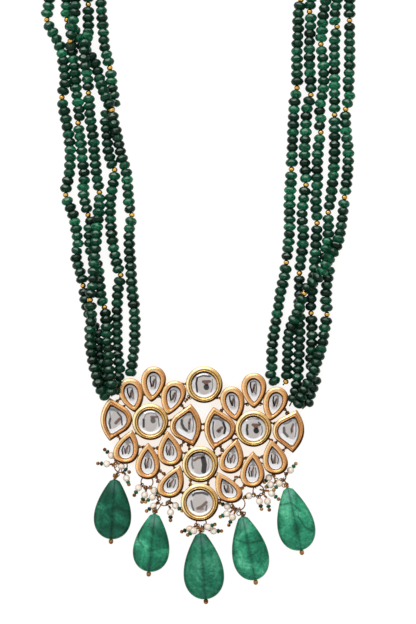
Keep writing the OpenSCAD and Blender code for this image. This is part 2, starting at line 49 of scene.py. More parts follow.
# Round settings: x, y, heading, diameter
ROUND = [
    [0.9, 22.2, 0, 14.3], [-20.6, 7.3, 0, 14.1], [20.6, 4.6, 0, 14.1], [-0.7, -9.7, 0, 14.1],
    [-0.9, -24.9, 0, 14.7],
]
# Pear settings: x, y, heading of the tip, length, width, how far the tip leans
PEAR = [
    [-28.6, 17.9, -89, 12.8, 9.2, 1.8], [-19.2, 22.4, -90, 13.3, 9.1, -0.9],
    [-10.9, 16.9, -90.5, 12.9, 9.1, -2.4], [11.9, 14.5, -89, 13, 8.9, 1.7], [20.8, 19.8, -89, 13.3, 9.2, 0],
    [29.8, 14.5, -91, 12.8, 9.1, -2.3], [-30.5, -2.7, 87, 12.8, 9.4, -2.1],
    [-21.6, -8.4, 89.5, 13.7, 9.1, 0], [-12.4, -3.5, 87, 13.1, 9.2, 1.7], [-13, -16.6, 89, 12.3, 9.5, -3.8],
    [11.3, -6.5, 92, 12.9, 9.1, -2.7], [20.2, -11.8, 88.5, 13.7, 9, 0], [29.4, -6.8, 92.5, 13.2, 9.2, 1.6],
    [11.5, -18.9, 91.5, 11.7, 9.5, 4.8],
]
# Fan settings: x, y, heading of the nose
FAN = [
    [-36.7, 8.3, 0], [-4, 5.9, 184], [4.7, 4.7, 0], [37, 3.5, 175],
]
# Rings between two settings: both settings, x, y, heading from the first to the second
LINKS = [
    ["p1 p2", -23.4, 18, 15], ["p2 p3", -16.5, 17.3, -12], ["p3 r1", -7, 22.4, 10],
    ["p3 r1", -5.6, 16.5, 25], ["p1 f1", -33.2, 16.1, 222], ["p1 f1", -30.8, 13.9, 228],
    ["f1 r2", -27.8, 8, 0], ["r2 f2", -13.05, 7.8, 0], ["r2 f2", -13.05, 5.4, 0], ["f2 f3", 0.35, 6.3, 0],
    ["f2 f3", 0.35, 3.9, 0], ["f1 p7", -33.1, 0.9, -48], ["r2 p7", -26.8, 2.4, 205],
    ["r2 p9", -14.7, 2.3, -25], ["p7 p8", -24.3, -2.8, -8], ["p7 p8", -25.6, -6.3, -12],
    ["p8 p9", -18.6, -3.3, 8], ["p8 p9", -17.5, -6.2, 8], ["p9 r4", -7.3, -5.2, -10], ["p9 r4", -8, -8.1, 0],
    ["p9 p10", -11.2, -10.8, -65], ["p8 p10", -16, -13, -35], ["p8 p10", -17.9, -15.6, -60],
    ["p10 r4", -7.8, -12.6, 10], ["p10 r5", -8.3, -21, -20], ["r4 f2", -5.2, -2.9, 105],
    ["p9 f2", -7.8, -1.5, 55], ["r4 f3", 4.8, -4.4, 80], ["r4 r5", -4.6, -17, -90],
    ["r4 r5", 2.4, -17.1, -90], ["r5 p14", 6.9, -23.9, 10], ["r4 p14", 5, -14.7, -15],
    ["p11 r4", 6.5, -6.6, 190], ["f3 p11", 7.6, -3.3, -70], ["p11 p12", 17.2, -7.4, 5],
    ["p11 p12", 16.5, -9.9, 5], ["p12 p13", 23.3, -7, 5], ["p12 p13", 24.2, -9.4, 3],
    ["p14 p12", 14.6, -14.9, 12], ["p14 p12", 16.7, -18.6, 50], ["p11 r3", 14.3, 0.6, 33],
    ["f3 p11", 12.1, 0.3, -60], ["r3 f4", 28.2, 6.7, -8], ["r3 p13", 27, 0.3, -34],
    ["p13 f4", 33.1, -3.6, 50], ["p13 f4", 30, -0.5, 50], ["f3 r3", 13.35, 5.1, 0],
    ["f3 r3", 13.1, 2.4, -12], ["r1 p4", 6.7, 16.8, -15], ["p4 p5", 17.2, 14.4, -8],
    ["p5 p6", 24.2, 14.4, 5], ["p6 f4", 33.7, 11.6, -50], ["p4 f3", 8.1, 12, 240], ["p3 f2", -7.5, 13.1, -50],
]
# Hoops under the lowest settings: the setting, x, y, radius, angle of its eyelet on the hoop
HOOPS = [
    ["p7", -32.5, -10.4, 2.6, 58], ["p8", -22, -16.8, 2.4, 88], ["p10", -15.1, -23.8, 2.5, 58],
    ["r5", -0.3, -33.2, 2, 92], ["p14", 14.6, -25.5, 2.6, 128], ["p12", 22.6, -20.3, 2.2, 135],
    ["p13", 31.2, -14.6, 2.4, 118],
]
# Pearls on their pins: the hoop, x, y, heading of the pin, length from pearl to ball, and a lift if any
PEARLS = [
    [1, -36.3, -6.2, 139, 3.5], [1, -38.1, -9.6, 177, 3.6], [1, -32.3, -10.4, -37, 4, 1.2],
    [1, -30.2, -15.3, -70, 2.7], [2, -25.4, -19.2, 240, 3.4], [2, -23, -22, 250, 3],
    [2, -19.2, -20.2, -30, 2.1], [3, -19.9, -22.9, 215, 3.3], [3, -19.4, -26.5, 215, 3.4],
    [3, -10.6, -26.3, -38, 3.3], [3, -12.6, -29, -90, 3.2], [4, -5, -35.6, 200, 3.3],
    [4, -3.3, -36.2, 215, 2.9, 2], [4, 2.3, -34.7, 20, 3, 2], [4, 4.6, -36.5, 0, 3.2],
    [5, 10.1, -26.6, 155, 3.2], [5, 9.9, -29.6, 205, 2.8], [5, 12.2, -31, 245, 3.4],
    [6, 18.8, -22.4, 200, 1.8], [6, 23, -24.6, -75, 3.2], [6, 26.2, -24.6, -78, 3.5],
    [6, 27.9, -21.4, -40, 3.6], [7, 26.8, -15.1, 225, 2.6], [7, 27.5, -18, 205, 2],
    [7, 30.9, -17.2, -130, 3.4, 2.2], [7, 35.4, -12.1, 50, 3.4],
]
# Pear drops: x and y of the top, x and y of the bottom, width, how pale
DROPS = [
    [-34.8, -15.6, -36.3, -39.6, 15, 0.12], [-18.8, -29.4, -21.2, -52.6, 14.6, 0.95],
    [-0.6, -37, 1.5, -63.6, 16.2, 0.4], [16.2, -30.4, 21.3, -55.9, 14.6, 1.0],
    [34.2, -19, 39.7, -44, 15, 1.0],
]
# Strings, from the outermost inwards: x, distance below the pictured part's upper end, and a lift if any
LEFT = [
    [[-61, 0], [-62, 8], [-58, 16], [-56, 21], [-55.2, 27], [-54.6, 33], [-56, 39], [-54.5, 47],
     [-52.7, 59.5], [-53, 69], [-54.5, 78], [-51.5, 86], [-49.5, 98.5], [-50.5, 102], [-48, 111.5],
     [-46, 123], [-44, 129], [-41, 134.5], [-41.5, 138], [-39.5, 147], [-38.2, 153.2], [-37.2, 158.6]],
    [[-54, 0], [-54, 8], [-50.5, 13], [-47.5, 19], [-44, 23], [-42, 27.5], [-41, 31.5], [-39.5, 36, 2.4],
     [-38, 40, 4.2], [-36, 44.5, 4.3], [-35, 50, 3.2], [-33.7, 55, 1.7], [-33, 59], [-32, 63.5], [-30.4, 68],
     [-29, 83], [-28, 86], [-29, 91.5], [-29, 100.5], [-28.5, 106.5], [-28, 115.5], [-27, 125], [-27, 138],
     [-28.5, 149], [-28.8, 151]],
    [[-50.5, 0, 3], [-50.5, 5, 4.3], [-51.5, 10.5, 4.4], [-52, 14, 4.3], [-52.4, 17.2, 3], [-52, 20.5],
     [-50.8, 28], [-50.5, 34.5], [-49, 46], [-49.5, 49], [-48.9, 54], [-48.1, 60], [-47.8, 64.5],
     [-47, 70.5], [-47.5, 76.5], [-45.5, 86], [-44.5, 88.5], [-45, 91], [-44.5, 100.5], [-42, 106],
     [-41, 112.5], [-40.5, 118.5], [-39, 123, 0.4], [-38, 130, 3], [-38, 135.5, 3.2], [-37, 141.5, 3.4],
     [-37.5, 145, 4], [-36, 152, 4.4], [-36, 155, 4.4], [-36, 158.8, 1]],
    [[-45.5, 0], [-45.5, 7], [-45.4, 13, 0.8], [-46, 16, 3.4], [-46.5, 19, 4.3], [-46.8, 22, 4.3],
     [-46.8, 25, 3.8], [-46, 28.5, 2.4], [-45.5, 34.5], [-45, 43], [-44.5, 49], [-43.5, 55], [-43, 61.5],
     [-42, 71], [-41, 77], [-41, 82.5, 1.2], [-41.5, 88, 3.2], [-42, 94.5, 4.2], [-42.5, 100.5, 4.3],
     [-43, 107, 4.3], [-43.5, 114, 4.3], [-44.5, 120, 4.3], [-44, 125.5, 4.3], [-44.5, 132, 4],
     [-44.5, 138, 3], [-44, 142, 2.8], [-42.5, 148.5, 3], [-41, 154, 3], [-38.3, 159, 0.4]],
    [[-40.5, 0], [-40, 7], [-39.5, 12.5], [-39, 18.5], [-37.5, 24.5], [-36.5, 29], [-36, 35], [-35, 41],
     [-38, 45], [-38.5, 47.5], [-38, 53.5], [-37.5, 60], [-36.2, 65.5], [-34.9, 68], [-35.5, 73.5],
     [-36.5, 79.5], [-36.5, 89.5], [-35.5, 98.5], [-33.5, 107.5], [-32.5, 110], [-33.5, 115], [-34, 125],
     [-34, 134.5], [-33.5, 143.5], [-32.8, 149], [-33.4, 151], [-34.9, 158.7]],
]
RIGHT = [
    [[59, 0], [59, 8], [59, 17], [59, 26], [58.5, 35], [59, 38.5], [57.5, 43.5], [57.5, 52], [58.5, 61],
     [58, 70.5], [57, 79], [56, 88], [55, 94, 1], [53, 99.5, 3.5], [50, 104.5, 4.3], [46.5, 110.5, 4.3],
     [42, 115, 4.3], [39.5, 120, 4.3], [38, 125, 4.3], [36, 129, 3.6], [35, 132, 2.4], [34.5, 136, 0.3],
     [34, 148.5], [33.6, 152.4], [31.8, 154.6]],
    [[54, 0], [53, 8], [54, 10.5], [53, 16], [53, 25], [53, 34.5], [53, 43.5], [53, 51.5], [53, 61],
     [52.5, 70], [51.5, 79], [50.5, 85], [50.5, 94], [49.5, 100.5], [49.4, 104], [50.9, 107], [50, 113],
     [49.5, 120], [50, 125.5], [49, 131.5], [48, 138, 1.6], [46, 143.5, 3.8], [44, 149.5, 4.3],
     [40.5, 156, 4.3], [39, 159.5, 4], [38.6, 161.2, 3.4], [37.8, 163.2, 1.2]],
    [[49.5, 0], [48.5, 6], [48, 12], [47.5, 17.5], [48.5, 25.5], [48.5, 35], [47, 44], [47.5, 47],
     [47, 50.5], [47.5, 53], [46.5, 58.5], [46, 68], [46, 74.5], [45.5, 80], [46, 89], [45.5, 98],
     [45, 106.5], [44, 116], [43.5, 122.5], [44, 134], [43.5, 144], [44, 148], [45.5, 151.5], [43.5, 157],
     [42.5, 161], [40.9, 162.8], [39, 164.4]],
    [[43.5, 0], [43, 4.5], [43.5, 7], [43, 16.5], [43, 26], [43.5, 38], [42, 43], [41.5, 52], [41, 61.5],
     [41.6, 74], [41, 77], [40, 85.5], [40.5, 95], [39, 109], [39, 117.5], [39, 127.5], [39, 137],
     [38.5, 147], [38, 153], [36.7, 158.8], [34.7, 162.9]],
    [[39.5, 0], [38.5, 5.5], [38.5, 11.5], [38, 20], [38, 29], [38, 35], [37, 41], [36.5, 50], [36, 62],
     [35.5, 73.5], [35, 80], [35, 92.5], [34, 102.5], [33, 110.5], [31.5, 116.5], [30.5, 123], [29.5, 129],
     [28, 139.5], [28, 146], [27.4, 149.5], [28.8, 152.2], [29.7, 154.3]],
]
# Distance below the upper end of each gold spacer on a string, and then of the middle of its last bead
LEFT_SPACERS = [
    [8, 38.8, 77.8, 114.2, 153.6], [7.8, 44.4, 85.8, 148.8], [16.6, 49.2, 86, 123, 156],
    [37, 76.8, 119.8, 158], [27, 67.8, 109.8, 156],
]
RIGHT_SPACERS = [
    [8.2, 43.6, 79, 117.3, 152.6, 149.6], [10.6, 45.8, 84.8, 125.6, 161.2], [17.6, 53, 89.2, 125, 160.8],
    [4.6, 37.8, 74, 109.2, 159.4], [0, 35.2, 67.6, 104.8, 152.4],
]


def add_object(name, data):
    obj = bpy.data.objects.new(name, data)
    bpy.context.collection.objects.link(obj)
    return obj


# Camera, first because everything is judged through it
CAMERA_X = 2.4
CAMERA_Y = -44.6
CAMERA_Z = 902
# The picture is this high at this distance
CAMERA_FAR = 900
PICTURE_HEIGHT = 249.6
SENSOR = 36
camera_data = bpy.data.cameras.new("camera")
camera_data.sensor_width = SENSOR
camera_data.lens = SENSOR * CAMERA_FAR / PICTURE_HEIGHT
camera_data.clip_start = 0.01
camera_data.clip_end = 50
camera = add_object("camera", camera_data)
camera.location = (CAMERA_X * MM, CAMERA_Y * MM, CAMERA_Z * MM)
bpy.context.scene.camera = camera
bpy.context.scene.view_settings.view_transform = "Standard"


def heading(degrees):
    return np.array([math.cos(math.radians(degrees)), math.sin(math.radians(degrees))])


def unit(v):
    v = np.asarray(v, float)
    return v / np.linalg.norm(v)


def angles(n, shift=0.0):
    """Even steps round a circle."""
    return (np.arange(n) + shift) * 2 * math.pi / n


def clip01(v):
    return np.clip(v, 0, 1)


def bell(value, at, half):
    """1 at a value, less on both sides of it."""
    return np.exp(-((value - at) / half) ** 2)


def circle(t, a, b):
    return np.cos(t)[:, None] * a + np.sin(t)[:, None] * b


def raised(flat, z):
    return np.column_stack([flat, np.broadcast_to(z, len(flat))])


def on_pendant(x, y, z):
    return np.array([x, y + PENDANT_Y, z])


class Mesh:
    """Gathers parts of one piece, with numbers kept for each point or for each face."""

    def __init__(self, *kept, domain="POINT"):
        self.points = []
        self.faces = []
        self.flat = []
        self.kept = {k: [] for k in kept}
        self.domain = domain
        self.count = 0

    def add(self, points, faces, flat=False, **values):
        points = np.asarray(points, float).reshape(-1, 3)
        self.points.append(points)
        self.faces.extend([tuple(int(i) + self.count for i in f) for f in faces])
        self.flat.extend([flat] * len(faces))
        number = len(points if self.domain == "POINT" else faces)
        for k, rows in self.kept.items():
            rows.append(np.broadcast_to(np.asarray(values.get(k, 0.0), float), number))
        self.count += len(points)

    def build(self, name, material):
        mesh = bpy.data.meshes.new(name)
        mesh.from_pydata((np.vstack(self.points) * MM).tolist(), [], self.faces)
        mesh.polygons.foreach_set("use_smooth", [not f for f in self.flat])
        for k, rows in self.kept.items():
            layer = mesh.attributes.new(k, "FLOAT", self.domain)
            layer.data.foreach_set("value", np.concatenate(rows).astype(np.float32))
        mesh.materials.append(material.data)
        mesh.update()
        return add_object(name, mesh)

    def piece(self, name, material, slot, *nodes):
        obj = self.build(name, material)
        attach(obj, "root")
        if nodes:
            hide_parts(*nodes)


def grid_faces(rows, cols, closed_rows=False):
    """Faces of rings of the same number of points, each ring closed."""
    faces = []
    for j in range(rows if closed_rows else rows - 1):
        a = j * cols
        b = (j + 1) % rows * cols
        for i in range(cols):
            k = (i + 1) % cols
            faces.append((a + i, a + k, b + k, b + i))
    return faces


def capped(rings):
    """Points and faces of a closed solid through rings that run counter-clockwise seen from its start."""
    rings = np.asarray(rings, float)
    rows, cols = rings.shape[:2]
    points = np.vstack([rings.reshape(-1, 3), rings[0].mean(0), rings[-1].mean(0)])
    faces = grid_faces(rows, cols)
    last = (rows - 1) * cols
    for i in range(cols):
        k = (i + 1) % cols
        faces.append((rows * cols, k, i))
        faces.append((rows * cols + 1, last + i, last + k))
    return points, faces


def with_caps(rows):
    """Numbers for each point of a capped solid, 0 at the middles of its caps."""
    return np.append(np.concatenate(rows), [0, 0])


def across_up(ahead):
    side = np.cross([0, 0, 1], ahead)
    if np.linalg.norm(side) < 1e-6:
        side = np.array([0, 1, 0])
    side = unit(side)
    return side, np.cross(ahead, side)


def tube(points, radius, sides=10):
    """Wire through points."""
    points = np.asarray(points, float)
    turn = angles(sides)
    last = len(points) - 1
    rings = []
    for i, p in enumerate(points):
        side, up = across_up(unit(points[min(i + 1, last)] - points[max(i - 1, 0)]))
        rings.append(p + radius * circle(turn, side, up))
    return capped(rings)


def ring(centre, a, b, big, small, cols=28, rows=10):
    """Ring of wire in the plane of a and b."""
    a = unit(a)
    b = unit(b)
    out = circle(angles(cols), a, b)[:, None]
    t = angles(rows)[:, None]
    points = centre + (big + small * np.cos(t)) * out + small * np.sin(t) * np.cross(a, b)
    return points, grid_faces(cols, rows, True)


def lathe(profile, sides):
    """Rings about Z from rows of z, radius and a turn of the ring in steps, if any."""
    return np.array([[[r * math.cos(t), r * math.sin(t), z] for t in angles(sides, sum(turn))]
                     for z, r, *turn in profile])


def turned(points, ahead):
    """Points with their Z turned to run along a direction."""
    side, up = across_up(unit(ahead))
    return np.asarray(points) @ np.array([side, up, unit(ahead)])


BALL_PROFILE = [heading(a)[::-1] for a in range(-78, 79, 13)]


def add_ball(mesh, place, ahead, long, wide, sides):
    """Ball of given half sizes with its axis along a direction."""
    points, faces = capped(lathe([[z * long, r * wide] for z, r in BALL_PROFILE], sides))
    mesh.add(place + turned(points, ahead), faces)


# Materials
class Nodes:
    """Node tree of a material or of the world."""

    def __init__(self, tree):
        self.tree = tree

    def add(self, kind, **settings):
        n = self.tree.nodes.new("ShaderNode" + kind)
        for k, v in settings.items():
            setattr(n, k, v)
        return n

    def feed(self, sockets, values):
        """Gives each socket a number, a colour, numbers kept on the mesh or the output of another node."""
        for socket, v in zip(sockets, values):
            if isinstance(v, str):
                v = self.add("Attribute", attribute_name=v).outputs["Fac"]
            if isinstance(v, (int, float)):
                socket.default_value = v
            elif isinstance(v, tuple):
                socket.default_value = (*v, 1)
            else:
                self.tree.links.new(v, socket)

    def give(self, node, **values):
        self.feed([node.inputs[k.replace("_", " ")] for k in values], values.values())

    def noise(self, scale, detail=2.0, roughness=0.5, distortion=0.0, place=None):
        n = self.add("TexNoise")
        if place is None:
            place = self.add("TexCoord").outputs["Object"]
        self.give(n, Vector=place, Scale=scale, Detail=detail, Roughness=roughness, Distortion=distortion)
        return n.outputs["Fac"]

    def ramp(self, factor, *stops):
        """Colours along a factor, from rows of a place on it and a colour or a grey."""
        n = self.add("ValToRGB")
        while len(n.color_ramp.elements) < len(stops):
            n.color_ramp.elements.new(0.5)
        for e, (at, *colour) in zip(n.color_ramp.elements, stops):
            e.position = at
            e.color = (*(colour * 3)[:3], 1)
        self.feed([n.inputs["Fac"]], [factor])
        return n.outputs["Color"]

    def calc(self, operation, a, b=0.0):
        n = self.add("Math", operation=operation)
        self.feed(n.inputs, (a, b))
        return n.outputs[0]

    def mix(self, factor, a, b, blend="MIX"):
        n = self.add("Mix", data_type="RGBA", blend_type=blend)
        self.feed((n.inputs[0], n.inputs[6], n.inputs[7]), (factor, a, b))
        return n.outputs[2]

    def times(self, a, b):
        return self.mix(1.0, a, b, "MULTIPLY")


class Material(Nodes):
    def __init__(self, name, **values):
        self.data = bpy.data.materials.new(name)
        self.data.use_nodes = True
        super().__init__(self.data.node_tree)
        self.look(**values)

    def look(self, **values):
        self.give(self.tree.nodes["Principled BSDF"], **values)


GOLD = (1, 0.66, 0.25)
GOLD_LOW = (0.68, 0.37, 0.095)
ROSE_GOLD = (0.98, 0.505, 0.195)
ROSE_LOW = (0.7, 0.285, 0.085)
# Colour of the painted highlights on the rims
HIGHLIGHT_GOLD = (1, 0.86, 0.5)
# Dark brown of tarnish and of the painted shade on the rims
SHADE_AND_TARNISH = (0.05, 0.016, 0.003)
WIRE_TINT = (1, 0.66, 0.36)

m = setting_gold = Material("setting_gold", Roughness=0.2, Specular_IOR_Level=0.08,
                            Specular_Tint=(1, 0.8, 0.55))
# Fine lines that follow the rim, from places kept on the mesh
along = m.add("CombineXYZ")
m.feed(along.inputs, ("round_x", "round_y", "inset"))
fine = m.noise(1, place=along.outputs[0])
share = m.ramp(fine, (0.34, 0), (0.6, 1))
plate = m.mix("rose", m.mix(share, GOLD_LOW, GOLD), m.mix(share, ROSE_LOW, ROSE_GOLD))
# Painted highlight: the rim turns pale gold where it faces the light
plate = m.mix("lit", plate, HIGHLIGHT_GOLD)
# Painted shade and tarnish: the rim turns dark brown and less metallic where it is shaded or tarnished
m.look(Base_Color=m.mix("worn", SHADE_AND_TARNISH, plate))
shine = m.add("MapRange")
m.give(shine, From_Max=0.5, Value="worn")
m.look(Metallic=shine.outputs["Result"])
hammer = m.add("Bump")
dents = m.calc("ADD", m.noise(500, detail=1), m.calc("MULTIPLY", fine, 1.5))
m.give(hammer, Strength=0.22, Distance=0.0002, Height=dents)
m.look(Normal=hammer.outputs["Normal"])

m = bead_gold = Material("bead_gold", Metallic=1, Roughness=0.22)
m.look(Base_Color=m.ramp(m.noise(900), (0.3, 0.62, 0.33, 0.07), (0.7, 0.85, 0.52, 0.14)))

m = wire_gold = Material("wire_gold", Metallic=0.2, Roughness=0.35, Specular_IOR_Level=0.22,
                         Specular_Tint=WIRE_TINT)
m.look(Base_Color=m.ramp(m.noise(520), (0.36, 0.05, 0.015, 0.003), (0.66, 0.4, 0.175, 0.042)))

m = link_gold = Material("link_gold", Metallic=0.45, Roughness=0.3, Specular_IOR_Level=0.35,
                         Specular_Tint=WIRE_TINT)
m.look(Base_Color=m.ramp(m.noise(420), (0.38, 0.1, 0.038, 0.01), (0.66, 0.56, 0.29, 0.09)))

m = bead_green = Material("bead_green", Roughness=0.15, IOR=1.5, Specular_IOR_Level=0.14)
shade = m.ramp("tint", (0, 0.001, 0.009, 0.004), (0.35, 0.002, 0.031, 0.015),
               (0.7, 0.005, 0.085, 0.04), (1, 0.014, 0.2, 0.09))
mottle = m.ramp(m.noise(700, 3, 0.6), (0.3, 0.6), (0.7, 1.35))
# Painted glint: pale grey-green on the facets that face the light
m.look(Base_Color=m.mix("glint", m.times(shade, mottle), (0.3, 0.4, 0.35)))

m = thread = Material("thread", Roughness=0.6)
m.look(Base_Color=m.ramp(m.noise(1200), (0.3, 0.02, 0.02, 0.01), (0.7, 0.08, 0.06, 0.03)))

m = foil = Material("foiled_stone", Metallic=0.6, Roughness=0.07, IOR=1.5, Specular_IOR_Level=0.08)
lit = m.ramp(m.noise(320), (0.35, 0.68, 0.66, 0.66), (0.65, 0.83, 0.81, 0.81))
# Painted reflections and painted shade over the grey: a darker upper part, a grey panel, a white crescent,
# brown and dark strokes
for name, colour in (("upper", (0.4, 0.4, 0.42)), ("panel", (0.61, 0.57, 0.545)), ("white", (0.98, 0.99, 1)),
                     ("brown", (0.15, 0.07, 0.05)), ("dark", (0.006, 0.007, 0.008))):
    lit = m.mix(name, lit, colour)
m.look(Base_Color=lit)

m = quartz = Material("green_quartz", Roughness=0.14, IOR=1.5, Specular_IOR_Level=0.15)
cloud = m.ramp(m.noise(105, 4, 0.6, 0.8), (0.28, 0.008, 0.105, 0.058), (0.45, 0.016, 0.2, 0.107),
               (0.56, 0.035, 0.32, 0.175), (0.7, 0.12, 0.54, 0.32))
cloud = m.times(cloud, m.ramp(m.noise(1100, 4, 0.75), (0.32, 0.6, 0.65, 0.65), (0.68, 1.35, 1.3, 1.3)))
# Painted highlight: paler and greyer near the top
cloud = m.mix("pale", cloud, (0.17, 0.38, 0.31))
cloud = m.mix("tone", m.times(cloud, (0.35, 0.43, 0.45)), cloud)
# Thin darker veins
cloud = m.times(cloud, m.ramp(m.noise(70, 3, 0.6, 1.8), (0.485, 1), (0.498, 0.62, 0.68, 0.68), (0.511, 1)))
# The drilled hole shows along the middle, and painted shade darkens the edge
cloud = m.times(cloud, m.ramp("side", (0, 0.34, 0.42, 0.44), (0.05, 0.52, 0.6, 0.6),
                              (0.2, 0.94, 0.96, 0.96), (0.3, 1), (0.8, 1), (0.97, 0.6, 0.66, 0.62),
                              (1, 0.42, 0.36, 0.28)))
m.look(Base_Color=m.mix("crack", cloud, (0.005, 0.04, 0.028)))

m = nacre = Material("nacre", Roughness=0.22, Subsurface_Weight=0.05, Subsurface_Scale=0.001)
# Painted shade: browner towards the edges as the camera sees them
rim = m.add("LayerWeight")
m.give(rim, Blend=0.42)
body = m.ramp(m.noise(600), (0.32, 0.88, 0.73, 0.57), (0.56, 1, 0.95, 0.87))
m.look(Base_Color=m.mix(rim.outputs["Facing"], body, (0.42, 0.24, 0.14)))

m = floor_matte = Material("pale_floor", Roughness=0.9, Emission_Strength=0.9)
m.look(Base_Color=m.ramp(m.noise(3, 1), (0.3, 0.16, 0.155, 0.15), (0.7, 0.18, 0.175, 0.17)))
# Light that the gold throws on the floor between the settings
m.look(Emission_Color=m.mix("glow", (1, 0.998, 0.99), (0.985, 0.9, 0.81)))


# Settings in one list: kind, number in the kind, row of its table
SETTINGS = [(kind, k, row) for kind, rows in (("round", ROUND), ("pear", PEAR), ("fan", FAN))
            for k, row in enumerate(rows, 1)]
FAN_HALF = 8.2
FAN_NOSE = 8.5
FAN_BULGE = 3.5


# Outlines of the same form as the CAD ones, with more points
def pear_outline(row, inset, n):
    """Pear whose flanks are fuller where its tip points down."""
    length, width, lean = row[3:]
    power = 0.55 if row[2] < 0 else 0.85
    t = angles(n, 0.5)
    along = (length - 2.25 * inset) / 2 * np.cos(t) - 0.12 * inset
    full = np.sin(t) * np.sin(t / 2) ** power
    side = (width - 2 * inset) / 2 * full / full.max()
    share = (along + length / 2) / length
    return np.stack([along, side + lean * share ** 2], 1)


def fan_outline(inset, n):
    half = FAN_HALF - 1.21 * inset
    nose = FAN_NOSE - 1.25 * inset
    bulge = FAN_BULGE - 0.75 * inset
    t = angles(n) - math.pi / 2
    far = np.abs(np.sin(t))
    hollow = 0.07 * np.sin(math.pi * clip01(2 * far - 1))
    out = np.where(np.cos(t) > 0, nose * (1 - far ** 2.1 - hollow), -bulge * np.cos(t) ** 2)
    # Inner edges have blunt corners
    side = half * far
    blunt = half - 0.6 * clip01((inset - 0.9) / 0.9)
    side = np.where(side > blunt, blunt + 0.15 * (side - blunt), side)
    return np.stack([0.25 * inset + out, side * np.sign(np.sin(t))], 1)


def outline(no, inset, n):
    """Edge of a setting in the frame, a distance in from its outside."""
    kind, _, row = SETTINGS[no]
    if kind == "round":
        t = angles(n)
        flat = (row[3] / 2 - inset) * np.stack([np.cos(t), np.sin(t)], 1)
    elif kind == "pear":
        flat = pear_outline(row, inset, n)
    else:
        flat = fan_outline(inset, n)
    ahead = heading(row[2])
    left = np.array([-ahead[1], ahead[0]])
    return flat[:, :1] * ahead + flat[:, 1:] * left + [row[0], row[1] + PENDANT_Y]


def lowered(inset):
    """How far the inner edges sit towards the wearer's feet."""
    t = clip01(inset / 1.5)
    return 0.22 * t * t * (3 - 2 * t)


CUP_H = 4.1
CUP_STEP = 0.07
# Section of a setting up its outside and down to the stone: distance in from the outline, share of the height
CUP_FOOT = [[1.5, 0], [1.45, 0.3], [1.4, 0.56], [0.8, 0.6], [0.3, 0.63], [0.1, 0.67], [-0.08, 0.72]]
# For each kind: that section above the foot, dark lines of tarnish and painted shade round the rim (distance
# in, half width, depth), painted highlight line (distance in, half width), how far in its painted shaded side
# reaches.
# For its stone: distance in, height and drop to the edge, half sizes of the painted grey panel reflection as
# shares, depth of the painted shade on its upper part, how far its painted reflections stray
KINDS = {
    "round": {
        "cup": [[-0.22, 0.85], [-0.16, 0.9], [0.16, 0.945], [0.42, 0.975], [0.68, 1], [0.88, 0.985],
                [1, 0.94], [1.08, 0.92], [1.16, 0.925], [1.3, 0.955], [1.5, 0.97], [1.72, 0.94],
                [1.84, 0.89], [1.94, 0.78], [1.97, 0.51]],
        "grooves": [[1.12, 0.17, 0.85]], "lit": (0.45, 0.36), "shaded": 0.42, "rose": 0,
        "stone": (2, 3.9, 0.82), "panel": (0.58, 0.74), "upper": 0.6, "stray": 0},
    "pear": {
        "cup": [[-0.42, 0.85], [-0.36, 0.9], [0, 0.945], [0.35, 0.975], [0.75, 1], [1.15, 0.995],
                [1.45, 0.965], [1.66, 0.92], [1.78, 0.86], [1.86, 0.76], [1.9, 0.51]],
        "grooves": [[0.35, 0.12, 0.2], [1.8, 0.14, 0.5]], "lit": (0.28, 0.24), "shaded": 0.55, "rose": 1,
        "stone": (1.92, 3.75, 0.42), "panel": (0.55, 0.7), "upper": 0.9, "stray": 0.12},
    "fan": {
        "cup": [[-0.36, 0.85], [-0.3, 0.9], [0.05, 0.945], [0.38, 0.98], [0.6, 1], [0.78, 0.975],
                [0.86, 0.955], [0.96, 0.965], [1.16, 0.985], [1.34, 0.965], [1.46, 0.93], [1.54, 0.925],
                [1.66, 0.93], [1.78, 0.88], [1.88, 0.78], [1.92, 0.51]],
        "grooves": [[0.9, 0.17, 0.6], [1.58, 0.2, 0.8]], "lit": (0.28, 0.24), "shaded": 0.42, "rose": 1,
        "stone": (1.94, 3.8, 0.5), "panel": (0.6, 0.72), "upper": 0.9, "stray": 0},
}
# Directions that the painted shade and painted highlights on the rims follow: where shade falls, the lit side
# and the lit top
DOWNWARD = unit([0.42, -0.91])
LIT_SIDE = unit([-0.8, 0.6])
LIT_TOP = unit([0.15, 1.0])
OUTLINE_POINTS = 96
RIM_MIDDLE = 0.7
# Painted shade on the foot of each setting, under its rim
FOOT_SHADED = 0.05


def painted_rim_shade(kind, inset, out):
    """How much painted shade, tarnish and painted highlight the rim has at a distance in, from the way that
    each part of it faces.
    """
    own = KINDS[kind]
    first = own["cup"][0][0]
    last = own["cup"][-2][0]
    down = clip01(out @ DOWNWARD)
    up = clip01(out @ -DOWNWARD)
    facing = out @ LIT_SIDE
    # Painted highlight on the outer slope that faces the light and on the inner slope opposite it
    lit = 1.4 * bell(inset, *own["lit"]) * clip01(facing + 0.1)
    lit = lit + 0.7 * bell(inset, last - 0.3, 0.14) * clip01(-facing - 0.2)
    # Painted highlight across the top of each pear
    if kind == "pear":
        lit = lit + 1.6 * bell(inset, 1.0, 0.25) * clip01(out @ LIT_TOP - 0.6)
    # Painted shade: dark on the outer slope of the lower side, along the outer edge and on the inner slope of
    # the upper side
    worn = clip01((inset - first - 0.12 - 0.8 * clip01(1.25 * down)) / 0.12)
    worn = np.maximum(worn, 0.4 * (1 - down) ** 3)
    worn = np.minimum(worn, clip01(0.3 + (inset - first) * 2.2))
    # Painted shade on the outer slope that faces away from the light
    worn = worn * (1 - 0.4 * clip01(-facing) * clip01((0.75 - inset) / 0.3))
    inner = clip01((last - 0.02 - own["shaded"] * up - inset) / 0.08)
    worn = worn * np.maximum(inner, 0.65 * (1 - up) ** 2)
    # Dark lines round the rim: tarnish in its grooves and painted shade
    for at, half, depth in own["grooves"]:
        worn = worn * (1 - depth * bell(inset, at, half))
    return worn, clip01(lit)


